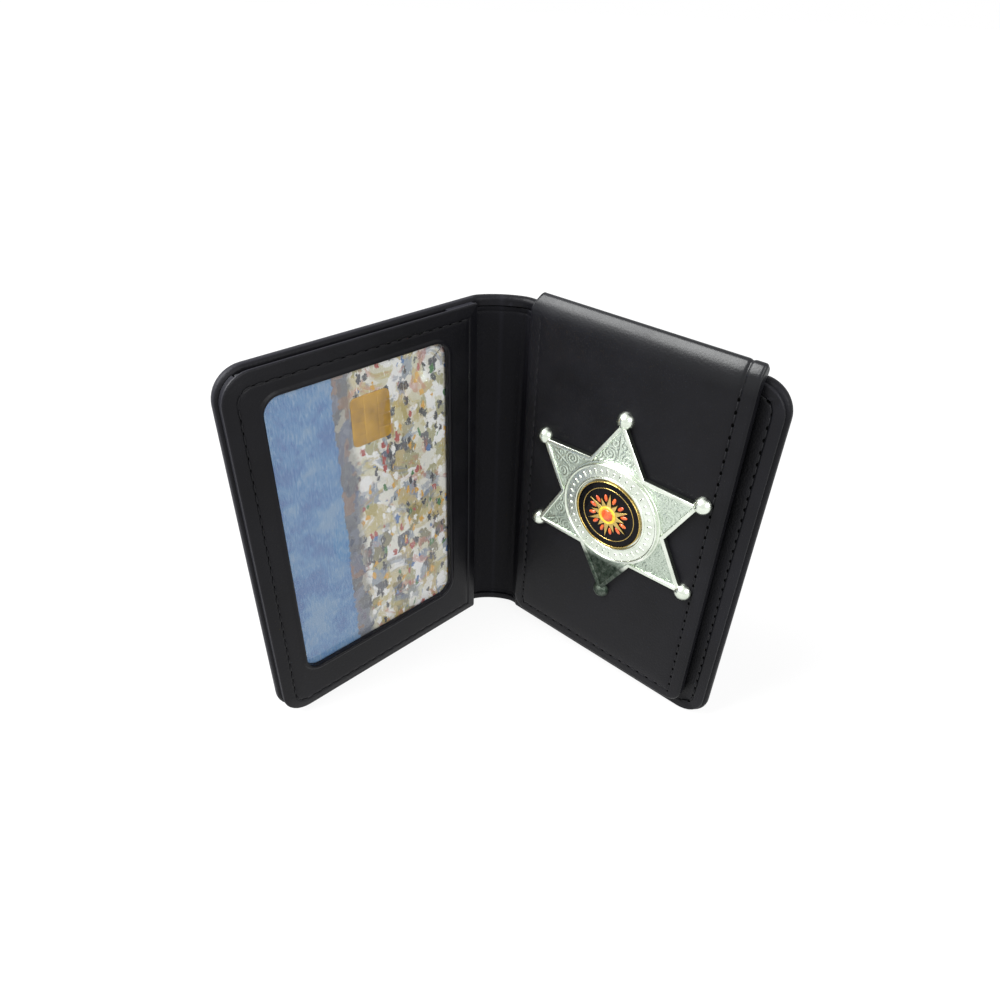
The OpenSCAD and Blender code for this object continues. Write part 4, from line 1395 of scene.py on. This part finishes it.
bm = turned([(0, 2.6), (1.7, 2.6), (1.66, 2.72), (1.5, 2.86), (1.2, 2.97), (0.7, 3.06), (0, 3.1)], 40)
badge_piece("sunburst_stud", bm, orange_enamel, "orange_enamel", ["emblem_stud"])

# %% [markdown]
# ## Pieces inside
# The boards, the washers and the nuts are the CAD solids with a finish of their own. Their forms are
# already right, and no one sees them without taking the wallet apart.

# %% Finishes of the carried CAD pieces
for material, nodes in ((board, ("left_cover_board", "right_cover_board", "flap_core_board")),
                        (steel, ("upper_badge_washer", "lower_badge_washer")),
                        (brass, ("upper_badge_nut", "lower_badge_nut"))):
    for node in nodes:
        refinish(node, material)
    print(material.name, "on", len(nodes), "solids")

# %% [markdown]
# ## Floor
# The photograph is a product shot on pure white. A floor that glows white for the camera alone gives
# that, while it lights the wallet no more than a pale table does. Its glow is a little weaker near the
# wallet and its own surface is dull, so the wallet's shadow stays on it.

# %% Floor


def seen_directly(tree):
    """1 where the camera sees a surface, also in a mirror or through glass, and 0 where it lights others."""
    rays = add(tree, "LightPath").outputs
    mirrored = maths(tree, rays["Is Glossy Ray"], rays["Is Transmission Ray"], "MAXIMUM")
    return maths(tree, rays["Is Camera Ray"], mirrored, "MAXIMUM")


floor_white, tree, shader = new_material("floor_white")
spot = spot_on(tree)
away = add(tree, "VectorMath", {0: spot}, operation="LENGTH").outputs["Value"]
glow = times(tree, seen_directly(tree), between(tree, away, 0.15, 0.5, 0.89, 1.0))
uneven = noise(tree, spot, 40.0, 2.0)["Fac"]
feed_all(tree, shader, {
    "Base Color": blend_colour(tree, uneven, (0.11, 0.11, 0.11), (0.13, 0.13, 0.13)),
    "Roughness": 0.9, "Specular IOR Level": 0.0,
    "Emission Color": (1, 1, 1, 1), "Emission Strength": glow})
bm = bmesh.new()
bmesh.ops.create_grid(bm, x_segments=1, y_segments=1, size=6.0)
floor_mesh = bpy.data.meshes.new("floor")
bm.to_mesh(floor_mesh)
bm.free()
floor_mesh.materials.append(floor_white)
floor = bpy.data.objects.new("floor", floor_mesh)
floor.location.z = -0.00005
scene.collection.objects.link(floor)
print("floor stands", round(-1000 * floor.location.z, 2), "mm below the wallet")

# %% [markdown]
# ## World and lamps
# The world is a dim white dome, and pure white where the camera looks past the floor. One broad lamp
# hangs above on the left, where it draws the bright line along the padded roll. A weaker one fills
# from the right, in front.

# %% World and lamps
world = bpy.data.worlds.new("studio")
scene.world = world
world.use_nodes = True
tree = world.node_tree
background = tree.nodes["Background"]
dome = between(tree, seen_directly(tree), 0, 1, 0.40, 1.0)
feed_all(tree, background, {"Color": (1, 1, 1, 1), "Strength": dome})


def lamp(name, place, target, width, power):
    """A square lamp, turned towards its target; places are in metres and power in watts."""
    data = bpy.data.lights.new(name, "AREA")
    data.shape = "RECTANGLE"
    data.size, data.size_y, data.energy = width, width, power
    made = bpy.data.objects.new(name, data)
    made.location = place
    made.rotation_euler = (Vector(target) - Vector(place)).to_track_quat("-Z", "Y").to_euler()
    scene.collection.objects.link(made)
    print(name, "at", place)


lamp("top_lamp", (-0.45, -0.14, 0.59), (0.035, -0.03, 0.10), 0.45, 12.0)
lamp("fill_lamp", (0.50, -0.62, 0.50), (0, 0, 0.05), 0.5, 5.0)

# %% [markdown]
# ## Camera
# The camera was fitted to the photograph: its place, its lens and its three turns are those that lay
# the wallet's corners, its window and its folds where the photograph has them. The turns are pan,
# tilt and roll, one matrix each, which is easier to read than one set of Euler angles.

# %% Camera, fitted to the photograph
CAMERA_AT = (0.00467, -0.17857, 0.16543)        # metres
PAN, TILT_DOWN, ROLL = 1.071, 35.372, 2.088     # degrees
LENS, SENSOR = 26.211, 36.0                     # millimetres
camera_data = bpy.data.cameras.new("camera")
camera_data.sensor_width = SENSOR
camera_data.lens = LENS
camera_data.clip_start = 0.01
camera = bpy.data.objects.new("camera", camera_data)
turns = ((PAN, "Z"), (90 - TILT_DOWN, "X"), (ROLL, "Z"))
pan, tilt, roll = (Matrix.Rotation(radians(angle), 4, axis) for angle, axis in turns)
camera.matrix_world = Matrix.Translation(CAMERA_AT) @ pan @ tilt @ roll
scene.collection.objects.link(camera)
scene.camera = camera
scene.view_settings.view_transform = "Standard"
print("camera looks down by", TILT_DOWN, "degrees")
